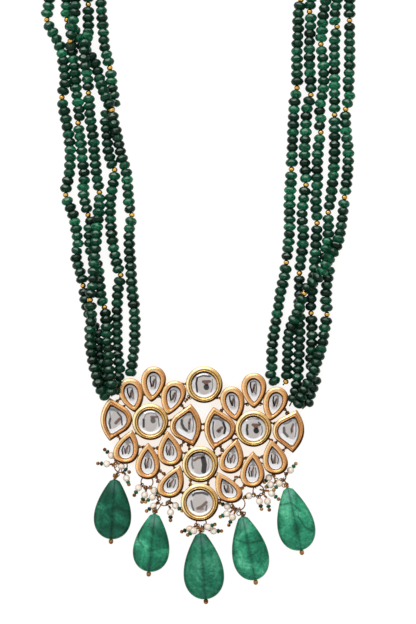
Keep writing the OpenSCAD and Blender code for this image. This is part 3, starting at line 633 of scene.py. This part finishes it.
# Sections of the flat eyelets and of their arms
EYELET = [[-0.22, 0.44], [-0.3, 0.52], [-0.3, 0.66], [-0.2, 0.74], [0.2, 0.74], [0.3, 0.66], [0.3, 0.52],
          [0.22, 0.44]]
EYELET_SIDES = 24
EYELET_Z = 1.25
EYELET_AWAY = 0.95
ARM = [[-1, 0.15], [-1, -0.15], [-0.7, -0.29], [0.7, -0.29], [1, -0.15], [1, 0.15], [0.7, 0.29], [-0.7, 0.29]]
ARM_LONG = 4.5
# The upright eyelets over the hoops
LOOP_R = 0.8
LOOP_ARM = 3
HOOP_Z = 1.6
LINK_WIRE = 0.42


def eyelet(mesh, no, place, middle):
    """Flat ring with an arm that runs to the middle of its setting."""
    inward = np.append(middle - place, 0)
    long = min(ARM_LONG, np.linalg.norm(inward))
    place = on_pendant(*place, EYELET_Z)
    points = place + lathe(EYELET, EYELET_SIDES).swapaxes(0, 1)
    mesh.add(points, grid_faces(EYELET_SIDES, len(EYELET), True), worn=0.35, rose=1.0, round_x=no)
    way = unit(inward)
    side = across_up(way)[0]
    arm = [[place + far * way + w * half * side + [0, 0, h] for w, h in ARM]
           for far, half in ((0.55, 0.34), (1.2, 0.46), (long, 0.48))]
    mesh.add(*capped(arm), worn=0.2, rose=1.0, round_x=no)


def setting(no):
    kind, k, row = SETTINGS[no]
    cup = KINDS[kind]["cup"]
    fine = np.unique([c[0] for c in cup[:-1]] + list(np.arange(cup[1][0], cup[-2][0], CUP_STEP)))
    section = CUP_FOOT + [[i, np.interp(i, *zip(*cup))] for i in fine] + [cup[-1]]
    edge = outline(no, RIM_MIDDLE, OUTLINE_POINTS)
    way = np.roll(edge, -1, 0) - np.roll(edge, 1, 0)
    out = np.column_stack([way[:, 1], -way[:, 0]]) / np.linalg.norm(way, axis=1)[:, None]
    rings = []
    for inset, share in section:
        flat = outline(no, inset, OUTLINE_POINTS) - [0, lowered(inset)]
        rings.append(raised(flat, share * CUP_H))
    points, faces = capped(rings)
    foot = len(CUP_FOOT)
    worn, lit = zip(*[painted_rim_shade(kind, inset, out) for inset, _ in section[foot:]])
    around = angles(OUTLINE_POINTS)
    mesh = Mesh("worn", "lit", "rose", "round_x", "round_y", "inset")
    mesh.add(points, faces, rose=KINDS[kind]["rose"],
             worn=with_caps([np.full(foot * OUTLINE_POINTS, FOOT_SHADED), *worn]),
             lit=with_caps([np.zeros(foot * OUTLINE_POINTS), *lit]),
             round_x=with_caps([np.tile(7 * np.cos(around), len(section))]) + 20 * no,
             round_y=with_caps([np.tile(7 * np.sin(around), len(section))]),
             inset=with_caps([np.full(OUTLINE_POINTS, 5 * i) for i, _ in section]))
    middle = np.array(row[:2])
    code = f"{kind[0]}{k}"
    for pair, x, y, degrees in LINKS:
        for end, own in zip((-1, 1), pair.split()):
            if own == code:
                eyelet(mesh, no, np.array([x, y]) + EYELET_AWAY * end * heading(degrees), middle)
    for own, x, y, radius, degrees in HOOPS:
        if own == code:
            way = heading(degrees)
            place = np.array([x, y]) + radius * way
            root = place + LOOP_R * way
            start = on_pendant(*root, HOOP_Z)
            arm = np.append(LOOP_ARM * unit(middle - root), 0)
            mesh.add(*ring(on_pendant(*place, HOOP_Z), np.append(way, 0), [0, 0, 1], LOOP_R, LINK_WIRE / 2),
                     worn=0.35, rose=1.0, round_x=no)
            mesh.add(*tube([start, start + arm], LINK_WIRE * 0.4), worn=0.3, rose=1.0, round_x=no)
    name = f"{kind}_setting_{k}"
    mesh.piece(name, setting_gold, "gold", name)


def band(value, low, high, soft):
    """1 between low and high, 0 outside, with soft ends."""
    return clip01((value - low) / soft + 0.5) * clip01((high - value) / soft + 0.5)


def stroke(x, y, half, *way):
    """1 on a soft line through points given as x, y, x, y and so on."""
    ends = np.reshape(way, (-1, 2))
    near = math.inf
    for a, b in zip(ends[:-1], ends[1:]):
        step = b - a
        t = clip01(((x - a[0]) * step[0] + (y - a[1]) * step[1]) / (step @ step))
        near = np.minimum(near, np.hypot(x - a[0] - t * step[0], y - a[1] - t * step[1]))
    return clip01((1.7 * half - near) / 0.16 + 0.5)


# Painted reflections: D is for dark, B for brown and W for white
D, B, W = "dark", "brown", "white"
# Painted reflections in each large stone, in millimetres from its middle: mark, strength, half width, line
ROUND_REFLECTIONS = [
    [[D, 0.95, 0.23, -2.75, 2.9, -3.2, 0.8, -2.8, -2.6],
     [D, 0.8, 0.2, -2.75, 3.1, -0.5, 3.8, 2.3, 3.5],
     [D, 0.6, 0.15, 3.2, 2.3, 3.3, -0.8, 2.7, -2.6], [B, 0.9, 0.34, -0.4, 1.4, 2.2, 1.5],
     [B, 0.9, 0.38, 0.4, 0.9, 1.1, 0.4], [D, 0.9, 0.64, 0.8, -0.65, 0.9, -0.9]],
    [[D, 0.9, 0.27, -2.7, 1.2, -2.7, -1.7],
     [D, 0.6, 0.12, -2.7, 1.2, -1.9, 3.2, 0, 3.9, 2.1, 3.4, 3, 2.3],
     [D, 0.75, 0.15, 3.2, 1.8, 3.5, -1.5], [B, 0.8, 0.3, 0.4, 2.2, 2.7, 2.2],
     [D, 0.75, 0.6, 1, 0.95, 1.1, 0.7]],
    [[D, 0.9, 0.28, -2.5, 1.7, -2.7, -0.2, -2.4, -2], [D, 0.7, 0.15, -2.2, 3.9, -0.2, 4.4, 2, 4],
     [D, 0.8, 0.2, 2, 2.8, 2.8, 1.9], [B, 0.9, 0.33, -0.3, 1.8, 2.3, 1.7],
     [B, 0.9, 0.4, 0.5, 1.2, 1.2, 0.8], [D, 0.95, 0.64, 1, -0.4, 1.1, -0.65],
     [D, 0.7, 0.15, 3.3, 1.2, 3.5, -1, 3, -2.3]],
    [[D, 0.7, 0.22, -3.1, 2.5, -3.3, 0.3, -2.9, -1.3],
     [D, 0.8, 0.25, -3, 3.4, -0.9, 4.2, 1.6, 4.1], [B, 0.85, 0.3, -2.4, 1.9, -0.9, 2.9, 1.2, 3.1],
     [D, 0.9, 0.6, 1.2, 2.7, 1.7, 0.3, 1.4, -2.4], [D, 0.5, 0.12, 3.3, 2.5, 3.5, 0, 3, -2]],
    [[D, 0.8, 0.28, -2.7, 3.1, -1.9, 3.9, 1, 4.2, 3.1, 3.4],
     [D, 0.8, 0.2, -3.4, 0.9, -3, -1.4, -2.4, -2.8], [D, 0.7, 0.2, 2.8, -0.9, 2.5, -2.8],
     [B, 0.8, 0.36, -0.8, -2.1, 0.8, -1.4, 2.6, 0.3], [B, 0.6, 0.3, 0.2, -2.4, 1.2, -2.2]],
]
FAN_REFLECTIONS = [
    [[D, 0.5, 0.28, -2.9, 4.2, -1.3, 4.2, 0.5, 3.5],
     [D, 0.85, 0.25, -2.4, 0.6, -2.8, -1.2, -2.4, -3.2],
     [D, 0.85, 0.2, 0.5, 3, 2, 1.15, 2.3, -1.9], [B, 0.85, 0.36, -0.2, -1.2, 1.3, 0.4],
     [D, 0.6, 0.15, -2.6, 3, -2.4, 1.2], [W, 1, 0.45, -2.5, -4.8, 0.2, -3.7, 3.3, -1.2]],
    [[D, 0.85, 0.32, -1.6, 2.3, -1.6, 0.9, -0.7, -0.9, 0.4, -1.8],
     [D, 0.5, 0.12, -1.3, 2.7, -0.2, 4.3, 1.6, 4.6], [B, 0.8, 0.28, 1.8, 2.7, 1.4, 1.4],
     [D, 0.75, 0.28, 1.4, 1.1, 1.4, -1.1], [D, 0.7, 0.13, 2.7, 3.8, 3.1, 0.9, 2.8, -2.2],
     [W, 1, 0.45, -2.7, -1.6, 0.9, -3.8, 3.1, -3.4]],
    [[D, 0.7, 0.28, -2.6, 4.3, -0.3, 4, 1.3, 3],
     [D, 0.85, 0.2, -2.6, 2.8, -2.9, 0.3, -2.6, -2.2, -2.2, -3.4],
     [D, 0.95, 0.28, 1.3, 2.4, 2.1, 0.3, 1.7, -1.7], [B, 0.85, 0.36, -0.9, -0.7, 0.7, 0.5],
     [D, 0.7, 0.4, -0.4, -1, -0.2, -0.8], [W, 1, 0.4, -2.4, -4.8, -0.3, -4, 3, -1.7]],
    [[D, 0.6, 0.18, -1.9, 3.1, -0.1, 3.6, 1.2, 4.7],
     [D, 0.75, 0.32, -1.8, 1.6, -1.7, -0.2, -0.4, -1.8],
     [B, 0.85, 0.28, 1.9, 3, 1.4, 1.6, 1.4, 0.2], [D, 0.5, 0.2, 1, 1.2, 1.2, -0.4],
     [D, 0.7, 0.13, 3, 3.6, 3, 0.2, 2.6, -2], [W, 1, 0.45, -2.6, -1.3, 0.3, -3.4, 2.5, -4]],
]
PEAR_DOWN_REFLECTIONS = [
    [D, 1, 0.2, -1.45, 3.1, -1.4, 1.4, -0.7, -0.9],
    [D, 0.85, 0.15, 0.95, 3.1, 1.1, 0.9, 0.8, -1.4], [B, 0.9, 0.27, 0.35, 2, -0.25, -0.4],
    [D, 0.85, 0.13, -0.35, 1.2, -0.05, -0.8], [D, 0.6, 0.15, -1.4, 3.2, -0.3, 3.6, 0.8, 3.3],
    [D, 0.5, 0.12, 0.4, 2.6, 0.6, 0.2],
]
PEAR_UP_REFLECTIONS = [
    [D, 1, 0.17, -1.4, 1.3, -1.7, -0.4, -1.2, -2.2],
    [D, 0.85, 0.14, 1.3, 1.3, 1.6, -0.4, 1.1, -2.3],
    [B, 0.9, 0.22, 0.45, 1.4, -0.3, -0.4, -0.3, -2], [D, 0.85, 0.12, -0.9, 0, -0.5, -2],
    [D, 0.45, 0.5, -0.2, 3.6, 0.2, 2.4], [D, 0.6, 0.14, -1.3, 2.3, 0, 2.9, 1.3, 2.3],
    [D, 0.5, 0.12, 0.5, 0.2, 0.3, -1.9],
]
# Half sizes of the pear stone that its marks were charted on
PEAR_CHART = (2.9, 4.6)
STONE_LOW = 2.241
STONE_POINTS = 128
STONE_LEVELS = 41


def painted_foil_reflections(no, x, y, rim, half_x, half_y):
    """Depth of each painted reflection and painted shade on a foiled stone; x and y are shares of its half
    sizes.
    """
    kind, k, row = SETTINGS[no]
    own = KINDS[kind]
    if kind == "pear":
        marks = PEAR_DOWN_REFLECTIONS if row[2] < 0 else PEAR_UP_REFLECTIONS
        half_x, half_y = PEAR_CHART
    else:
        marks = (ROUND_REFLECTIONS if kind == "round" else FAN_REFLECTIONS)[k - 1]
    # Only two of these four numbers are used
    shift = rng.normal(0, own["stray"], 4)[:2]
    depths = {mark: np.zeros(len(x)) for mark in ("dark", "brown", "white")}
    # Painted reflections: dark, brown and white strokes
    for mark, depth, half, *way in marks:
        wander = rng.normal(0, own["stray"], 2) + shift
        line = depth * stroke(x * half_x - wander[0], y * half_y - wander[1], half, *way)
        depths[mark] = np.maximum(depths[mark], line)
    # Painted reflection: a white crescent low in the stone
    foot = band(rim, 0.76, 0.955, 0.06) * band(y, -1.2, -0.12 - 0.25 * np.abs(x), 0.3)
    if kind == "pear":
        foot = np.maximum(foot, band(y, -1.2, -0.5, 0.25))
    depths["white"] = np.maximum(depths["white"], foot)
    # Painted shade: a dark line round the edge, darker towards the top
    edge = clip01((rim - 0.955) / 0.03) * np.clip(1.6 * y - 0.4, 0.08, 0.85)
    depths["dark"] = np.maximum(depths["dark"], edge)
    wide, high = own["panel"]
    # Painted reflection: a grey panel in the middle
    depths["panel"] = clip01(4 - 4 * ((x / wide) ** 2 + (y / high) ** 2) ** 2)
    # Painted shade over the upper part
    depths["upper"] = clip01((y - 0.35) / 0.5) * own["upper"]
    return depths


def stone(no):
    kind, k, _ = SETTINGS[no]
    inset, top, rise = KINDS[kind]["stone"]
    edge = outline(no, inset, STONE_POINTS) - [0, lowered(inset)]
    middle = edge.mean(0)
    rings = [raised(edge, STONE_LOW)]
    shares = [1.0, 0.985, 0.97, *np.arange(0.945, 0.02, -0.03)]
    lean = rng.normal(0, 0.012, 2)
    for share in shares:
        flat = middle + share * (edge - middle)
        z = top - rise * (0.3 * share ** 2 + 0.7 * share ** 4) + (flat - middle) @ lean
        rings.append(raised(flat, z))
    points, faces = capped(rings)
    rim = np.concatenate([np.repeat([1.0] + shares, STONE_POINTS), [1, 0]])
    low = edge.min(0)
    high = edge.max(0)
    half = (high - low) / 2
    x, y = ((points[:, :2] - (low + high) / 2) / half).T
    if kind == "pear":
        # Its marks follow its lean and partly its width
        levels = np.linspace(low[1], high[1], STONE_LEVELS)
        spans = [edge[np.abs(edge[:, 1] - v) < 0.45][:, 0] for v in levels]
        a = np.interp(points[:, 1], levels, [min(span) for span in spans])
        b = np.interp(points[:, 1], levels, [max(span) for span in spans])
        x = (points[:, 0] - (a + b) / 2) / np.maximum((b - a) / 4 + half[0] / 2, 0.5)
    mesh = Mesh("dark", "brown", "panel", "white", "upper")
    mesh.add(points, faces, **painted_foil_reflections(no, x, y, rim, *half))
    name = f"{kind}_stone_{k}"
    mesh.piece(name, foil, "stones", name)


for no in range(len(SETTINGS)):
    setting(no)
    stone(no)


# Strings of beads: the hidden arch behind the neck, the clasp at its top and the beads' own sizes
ARCH_Y = SEEN_TOP + 42
ARCH_R = 33
LANE = 5.6
BUNCH_R = 4.3
BUNCH_WAYS = [18, -54, 90, 234, 162]
GATHER_FROM = 35
CLASP_HALF = 17
CLASP_GAP = 0.3
CLASP_MOUTH_R = 6.5
LEAD_IN = 4
STRAND_Z = 2.1
PITCH = 3.0
SPACER_R = 1.05
SPACER_SIDES = 16
HIDDEN_SPACER_EVERY = 37.6
HIDDEN_SPACER_FROM = 12
FIRST_BEAD_AT = 0.4
SHORTEST_RUN = 1.5
# Half the stretch of string that gives a bead its direction, and how far beads tilt
LOOK_AHEAD = 0.8
TILT = 0.06
THREAD_R = 0.28
# The middles of the beads are wider than the CAD's even string, so they lie this much higher
BEAD_LIFT = 0.4
BEAD_SIDES = 12
# Section of a bead: share of its half length, share of its radius, turn of its corners in steps
BEAD = [[-1, 0.15, 0], [-1, 0.58, 0], [-0.64, 0.85, 0.5], [-0.16, 1, 0], [0.16, 1, 0], [0.64, 0.85, 0.5],
        [1, 0.58, 0], [1, 0.15, 0]]
# Facets that face this way get a painted glint
LIT_FROM = unit([-0.12, 0.45, 0.9])


def half_route(n, side, seen):
    """Route of one half of a string, from the clasp to the pendant."""
    track = (2 - n) * LANE
    bunch = BUNCH_R * heading(BUNCH_WAYS[n])
    low = CLASP_MOUTH_R + bunch[1]
    route = [[side * (CLASP_HALF + CLASP_GAP), ARCH_Y + ARCH_R + bunch[0], low]]
    for t in range(90, -1, -15):
        c = max(0, min(1, (t - GATHER_FROM) / (90 - GATHER_FROM)))
        g = c * c * (3 - 2 * c)
        x, y = (ARCH_R + track + (bunch[0] - track) * g) * heading(t)
        route.append([side * (CLASP_HALF + LEAD_IN + x), ARCH_Y + y, STRAND_Z + (low - STRAND_Z) * g])
    seen = [[x, SEEN_TOP - down, STRAND_Z + sum(lift)] for x, down, *lift in seen]
    foot = np.array(route[-1])
    route += [foot + (seen[0] - foot) * f for f in (1 / 3, 2 / 3)]
    return np.array(route + seen, float)


def smooth_path(route, step=0.25):
    """Close points on a curve through a route, and the distance along it at each."""
    ends = np.vstack([2 * route[0] - route[1], route, 2 * route[-1] - route[-2]])
    out = []
    for k in range(1, len(ends) - 2):
        a, b, c, d = ends[k - 1:k + 3]
        near = np.linalg.norm(c - b)
        n = max(2, int(near / step))
        t = (np.arange(n) / n)[:, None]
        start = (c - a) * near / (near + np.linalg.norm(b - a))
        finish = (d - b) * near / (near + np.linalg.norm(d - c))
        out.append((2 * t ** 3 - 3 * t ** 2 + 1) * b + (t ** 3 - 2 * t ** 2 + t) * start
                   + (3 * t ** 2 - 2 * t ** 3) * c + (t ** 3 - t ** 2) * finish)
    path = np.vstack([*out, ends[-2]])
    walk = np.concatenate([[0], np.cumsum(np.linalg.norm(np.diff(path, axis=0), axis=1))])
    return path, walk


def bead_template():
    """Points and faces of a faceted bead of radius and half length 1 about Z."""
    faces = []
    for j, row in enumerate(BEAD):
        after = (j + 1) % len(BEAD)
        turn = BEAD[after][2] - row[2]
        for i in range(BEAD_SIDES):
            k = (i + 1) % BEAD_SIDES
            a, b = j * BEAD_SIDES + i, j * BEAD_SIDES + k
            c, d = after * BEAD_SIDES + k, after * BEAD_SIDES + i
            if turn == 0:
                faces.append((a, b, c, d))
            elif turn > 0:
                faces += [(a, b, d), (b, c, d)]
            else:
                faces += [(a, c, d), (a, b, c)]
    return lathe(BEAD, BEAD_SIDES).reshape(-1, 3), faces


BEAD_POINTS, BEAD_FACES = bead_template()


def add_bead(mesh, place, ahead, wide, long, tint, highlight_share=1.0):
    """Faceted bead, each facet of its own depth of colour, with a painted glint that makes the one facing the
    light paler.
    """
    spin = rng.uniform(0, 2 * math.pi)
    c, s = math.cos(spin), math.sin(spin)
    p = BEAD_POINTS @ np.array([[c, s, 0], [-s, c, 0], [0, 0, 1]]) * [wide, wide, long / 2]
    p = place + turned(p, ahead)
    corners = p[[f[:3] for f in BEAD_FACES]]
    normal = np.cross(corners[:, 1] - corners[:, 0], corners[:, 2] - corners[:, 0])
    normal /= np.linalg.norm(normal, axis=1)[:, None]
    # Painted glint on the facets that face the light
    glint = highlight_share * clip01((normal @ LIT_FROM - 0.9) / 0.08) * rng.uniform(0.1, 0.75)
    depth = clip01(tint * rng.uniform(0.55, 1.35, len(BEAD_FACES)))
    mesh.add(p, BEAD_FACES, flat=True, tint=depth, glint=glint)


def string(n):
    beads = Mesh("tint", "glint", domain="FACE")
    gold = Mesh()
    core = Mesh()
    for side, seen, (*spacers, last) in ((-1, LEFT[n], LEFT_SPACERS[n]), (1, RIGHT[n], RIGHT_SPACERS[n])):
        path, walk = smooth_path(half_route(n, side, seen))
        path[:, 2] += BEAD_LIFT
        down = SEEN_TOP - path[:, 1]

        def at_down(d):
            after = np.flatnonzero(down >= d)
            return walk[after[0]] if len(after) else walk[-1]

        def spot(s):
            return np.array([np.interp(s, walk, path[:, c]) for c in range(3)])

        marks = [at_down(d) for d in spacers]
        while marks[0] - HIDDEN_SPACER_EVERY > HIDDEN_SPACER_FROM:
            marks.insert(0, marks[0] - HIDDEN_SPACER_EVERY)
        starts = [FIRST_BEAD_AT] + [s + SPACER_R for s in marks]
        stops = [s - SPACER_R for s in marks] + [at_down(last) + PITCH / 2]
        for low, high in zip(starts, stops):
            if high - low < SHORTEST_RUN:
                continue
            number = max(1, round((high - low) / PITCH))
            pitch = (high - low) / number
            for i in range(number):
                s = low + (i + 0.5) * pitch
                place = spot(s)
                ahead = unit(spot(s + LOOK_AHEAD) - spot(s - LOOK_AHEAD) + rng.normal(0, TILT, 3))
                # Darker beads near the pendant
                add_bead(beads, place, ahead, rng.uniform(2.3, 2.58), pitch * rng.uniform(0.99, 1.03),
                         rng.beta(2.0, 2.2) * np.interp(SEEN_TOP - place[1], [95, 135], [1, 0.6]))
        for s in marks:
            ahead = spot(s + LOOK_AHEAD) - spot(s)
            add_ball(gold, spot(s), ahead, SPACER_R * 1.05, SPACER_R * 1.16, SPACER_SIDES)
        core.add(*tube(path[::6], THREAD_R, 8))
    name = f"strand_{n + 1}"
    beads.piece(name, bead_green, "beads", name)
    gold.piece(name + "_spacers", bead_gold, "gold")
    core.piece(name + "_thread", thread, "wire")


for n in range(len(LEFT)):
    string(n)


# Drops, pearls and seeds
DROP_T = 6
DROP_COLS = 144
CRACK_DEPTH = 0.65
# Cracks that show in each drop: half width, then a line
CRACKS = [
    [[0.28, -34.0, -26.2, -31.6, -27.6, -29.2, -28.4], [0.18, -37.6, -27, -36.6, -31]],
    [[0.16, -25.0, -35.0, -25.5, -39.8, -23.4, -42.4], [0.12, -21.8, -44, -16.9, -43.2]],
    [[0.16, 3.2, -52.3, 4.8, -51.8], [0.12, -4.5, -49.5, -1.6, -51.4, 1.2, -50.8]],
    [[0.2, 12.5, -39.2, 17.7, -40.9, 23.6, -40.0], [0.14, 18.2, -46.5, 21.6, -44.6]],
    [[0.16, 31.1, -25.8, 35.5, -24.8, 39.3, -28.0], [0.2, 38.2, -30.2, 41.0, -34.4, 44.2, -36.3]],
]


def drop_line(row):
    """Top and bottom of a drop, and the direction from one to the other."""
    top = on_pendant(*row[:2], DROP_T / 2)
    end = on_pendant(*row[2:4], DROP_T / 2)
    return top, end, unit(end - top)


def drop_width(t):
    """Share of the full width at an angle along the drop, with a blunt top."""
    far = (1 - math.cos(t)) / 2
    full = (far + 0.085) / 1.085
    return 2.6 * full * math.sqrt(1 - full) * min(1, far / 0.03) ** 0.5


def drop(n):
    top, end, ahead = drop_line(DROPS[n])
    wide, tone = DROPS[n][4:]
    long = np.linalg.norm(end - top)
    side, up = across_up(ahead)
    a = angles(DROP_COLS)[::-1]
    rings, top_highlights = [], []
    for t in np.radians([3, 5, 7, 9, *range(11, 172, 2), 173]):
        share = drop_width(t)
        far = -long / 2 * math.cos(t)
        rings.append((top + end) / 2 + far * ahead + circle(a, DROP_T / 2 * share ** 0.6 * up,
                                                            wide / 2 * share * side))
        # Painted highlight near the top, along the middle of the drop
        top_highlights.append(0.75 * bell(far + long / 2, 2.6, 2.2) * bell(np.sin(a), 0, 0.5))
    points, faces = capped(rings)
    crack = np.zeros(len(points))
    for half, *way in CRACKS[n]:
        crack = np.maximum(crack, stroke(points[:, 0], points[:, 1] - PENDANT_Y, half, *way))
    mesh = Mesh("side", "pale", "tone", "crack")
    mesh.add(points, faces, crack=CRACK_DEPTH * crack * (points[:, 2] > DROP_T / 2), tone=tone,
             side=with_caps([np.abs(np.sin(a))] * len(rings)), pale=with_caps(top_highlights))
    name = f"drop_{n + 1}"
    mesh.piece(name, quartz, "drops", name)


for n in range(len(DROPS)):
    drop(n)

PIN_BALL_R = 0.76
PIN_BALL_NEAR = 0.55
DROP_BALL_R = 0.95
DROP_BALL_IN = 0.2
PEARL_D = 2.4
PEARL_SEEN = 2.9
PEARL_GAP = 0.05
PEARL_SIDES = 22
SEED_LONG = 1.2
# Pearls with their hoops, middles, directions of their pins and lengths to their balls
HUNG = [(HOOPS[hoop - 1], on_pendant(x, y, PEARL_D / 2 + PEARL_GAP + sum(lift)),
         np.append(heading(degrees), 0), long) for hoop, x, y, degrees, long, *lift in PEARLS]
pearls = Mesh()
seeds = Mesh("tint", "glint", domain="FACE")
for _, place, ahead, long in HUNG:
    rings = lathe([heading(a)[::-1] * PEARL_SEEN / 2 for a in range(-77, 78, 11)], PEARL_SIDES)
    uneven = 1 + 0.03 * np.sin(3 * angles(PEARL_SIDES) + rng.uniform(0, 6))
    rings[..., :2] *= (uneven * 0.985)[None, :, None]
    points, faces = capped(rings)
    pearls.add(place + turned(points, ahead), faces)
    add_bead(seeds, place + ahead * (PEARL_D / 2 + long - PIN_BALL_NEAR) / 2, ahead,
             rng.uniform(0.84, 0.98), SEED_LONG, rng.uniform(0.2, 0.9), highlight_share=0.15)
pearls.piece("pearls", nacre, "pearls", "pearls")
seeds.piece("seeds", bead_green, "beads")

ties = Mesh()


def coil(a, b, turns, big, small, phase=0.0):
    """Wire wound round the line from a to b."""
    side, up = across_up(unit(b - a))
    t = np.linspace(0, 1, int(turns * 10) + 1)
    path = a + t[:, None] * (b - a) + big * circle(2 * math.pi * turns * t + phase, side, up)
    ties.add(*tube(path, small, 7))


def tangle(around, number, big, small, spread):
    """Small rings of wire in all directions round a place."""
    for _ in range(number):
        tilt = unit(rng.normal(0, 1, 3) * [1, 1, 1.6])
        flat = unit(np.cross(tilt, rng.normal(0, 1, 3)))
        place = around + rng.normal(0, spread, 3) * [1, 1, 0.2]
        ties.add(*ring(place, flat, np.cross(flat, tilt), rng.uniform(0.75, 1.1) * big, small, 18, 6))


LINK_Z = 1.9
ABOVE_HOOP = np.array([0, 0, 0.3])
for _, x, y, degrees in LINKS:
    way = np.append(heading(degrees + rng.normal(0, 12)), 0)
    centre = on_pendant(x, y, LINK_Z)
    long = rng.uniform(1.3, 1.9)
    for phase in (0, math.pi):
        coil(centre - long * way, centre + long * way, turns=1.5, big=0.26, small=0.24, phase=phase)
    tangle(centre + 0.9 * way, number=1, big=0.6, small=0.2, spread=0.25)
for (_, x, y, radius, _), centre, ahead, _ in HUNG:
    hoop_at = on_pendant(x, y, HOOP_Z)
    mouth = centre - (PEARL_SEEN / 2 + 0.1) * ahead
    near = hoop_at + radius * unit(mouth - hoop_at)
    if np.linalg.norm(near - mouth) > 0.8:
        coil(mouth + 0.6 * (near - mouth), mouth, turns=3, big=0.3, small=0.18)
    tangle(near + ABOVE_HOOP, number=2, big=0.75, small=0.19, spread=0.35)
for _, x, y, radius, _ in HOOPS:
    middle = on_pendant(x, y, HOOP_Z) + ABOVE_HOOP
    ties.add(*tube([middle + radius * np.append(heading(t), 0) for t in range(0, 361, 12)], 0.24, 7))
for row in DROPS:
    top, _, ahead = drop_line(row)
    coil(top - 0.1 * ahead, top - 1.9 * ahead, turns=3, big=0.5, small=0.22)
    tangle(top - 1.1 * ahead, number=3, big=0.8, small=0.2, spread=0.5)
ties.piece("ties", wire_gold, "wire")

balls = Mesh()
for _, centre, ahead, long in HUNG:
    add_ball(balls, centre + long * ahead, ahead, PIN_BALL_R, PIN_BALL_R, 14)
for row in DROPS:
    _, end, ahead = drop_line(row)
    add_ball(balls, end + (DROP_BALL_R - DROP_BALL_IN) * ahead, ahead, DROP_BALL_R, DROP_BALL_R, 16)
balls.piece("balls", link_gold, "gold")

for name, plate in (("links", link_gold), ("pins", wire_gold), ("clasp", bead_gold)):
    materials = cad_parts[name].data.materials
    materials.clear()
    materials.append(plate.data)


# Floor, with close lines near the pendant and wide ones elsewhere
FLOOR_HALF = 1500
FLOOR_Z = -0.02
FLOOR_OUTLINE = 48
FLOOR_WIDE_LINES = 8


def floor_lines(middle, near):
    close = np.arange(middle - near, middle + near + 0.5, 1.0)
    return np.concatenate([np.linspace(-FLOOR_HALF, close[0], FLOOR_WIDE_LINES)[:-1], close,
                           np.linspace(close[-1], FLOOR_HALF, FLOOR_WIDE_LINES)[1:]])


across = floor_lines(0, 48)
along = floor_lines(PENDANT_Y, 40)
spots = np.array([[x, y, FLOOR_Z] for y in along for x in across])
glow = np.zeros(len(spots))
for no in range(len(SETTINGS)):
    edge = outline(no, 0, FLOOR_OUTLINE)
    glow += bell(np.min(np.linalg.norm(spots[:, None, :2] - edge, axis=2), axis=1), 0, 3.2)
wide = len(across)
squares = [(j * wide + i, j * wide + i + 1, (j + 1) * wide + i + 1, (j + 1) * wide + i)
           for j in range(len(along) - 1) for i in range(wide - 1)]
ground = Mesh("glow")
ground.add(spots, squares, flat=True, glow=clip01(glow - 1.0))
floor = ground.build("floor", floor_matte)

# Light above the pendant's far side, places in metres
key_data = bpy.data.lights.new("key", "AREA")
key_data.size = 0.8
key_data.energy = 4
key_data.color = (1, 0.97, 0.92)
key = add_object("key", key_data)
key.location = (-0.15, 0.75, 0.6)
key.rotation_euler = (Vector((0, -0.04, 0)) - key.location).to_track_quat("-Z", "Y").to_euler()

# Surroundings, by the place where a direction meets a level ceiling
world = bpy.data.worlds.new("studio")
bpy.context.scene.world = world
world.use_nodes = True
w = Nodes(world.node_tree)
split = w.add("SeparateXYZ")
w.feed(split.inputs, [w.add("TexCoord").outputs["Generated"]])
height = w.calc("MAXIMUM", split.outputs["Z"], 0.05)
u = w.calc("DIVIDE", split.outputs["X"], height)
v = w.calc("DIVIDE", split.outputs["Y"], height)


def rise(value, start, end):
    """0 below start and 1 above end."""
    n = w.add("MapRange", interpolation_type="SMOOTHSTEP")
    w.give(n, Value=value, From_Min=start, From_Max=end)
    return n.outputs["Result"]


def fall(value, start, end):
    return w.calc("SUBTRACT", 1.0, rise(value, start, end))


def all_of(first, *masks):
    for mask in masks:
        first = w.calc("MULTIPLY", first, mask)
    return first


# What the metal reflects: a pale room, dark low down, with broad lights above, left of and below the camera
ROOM_AT = 0.3
ROOM_SIZE = 2.6
wide_u = w.calc("ABSOLUTE", u)
x = w.calc("DIVIDE", u, ROOM_SIZE)
y = w.calc("DIVIDE", w.calc("SUBTRACT", v, ROOM_AT), ROOM_SIZE)
room = fall(w.calc("ADD", w.calc("MULTIPLY", x, x), w.calc("MULTIPLY", y, y)), 0.8, 1.2)
above = all_of(rise(v, 0.95, 1.3), fall(v, 2.6, 3.6), fall(wide_u, 1.4, 2.4))
left = all_of(rise(u, -3.2, -2.4), fall(u, -1.2, -0.8), rise(v, -0.8, -0.2), fall(v, 1.6, 2.4))
below = all_of(fall(v, -0.7, -0.5), rise(v, -1.6, -1.2), fall(wide_u, 1.0, 1.6))
colour = (0.08, 0.055, 0.04)
for mask, lit in ((room, (0.76, 0.76, 0.77)), (left, (1.5, 1.45, 1.35)), (above, (1.7, 1.62, 1.5)),
                  (below, (1.2, 1.2, 1.2))):
    colour = w.mix(mask, colour, lit)
seen = w.add("LightPath").outputs["Is Camera Ray"]
w.give(w.tree.nodes["Background"], Color=w.mix(seen, colour, (0.95, 0.95, 0.945)))
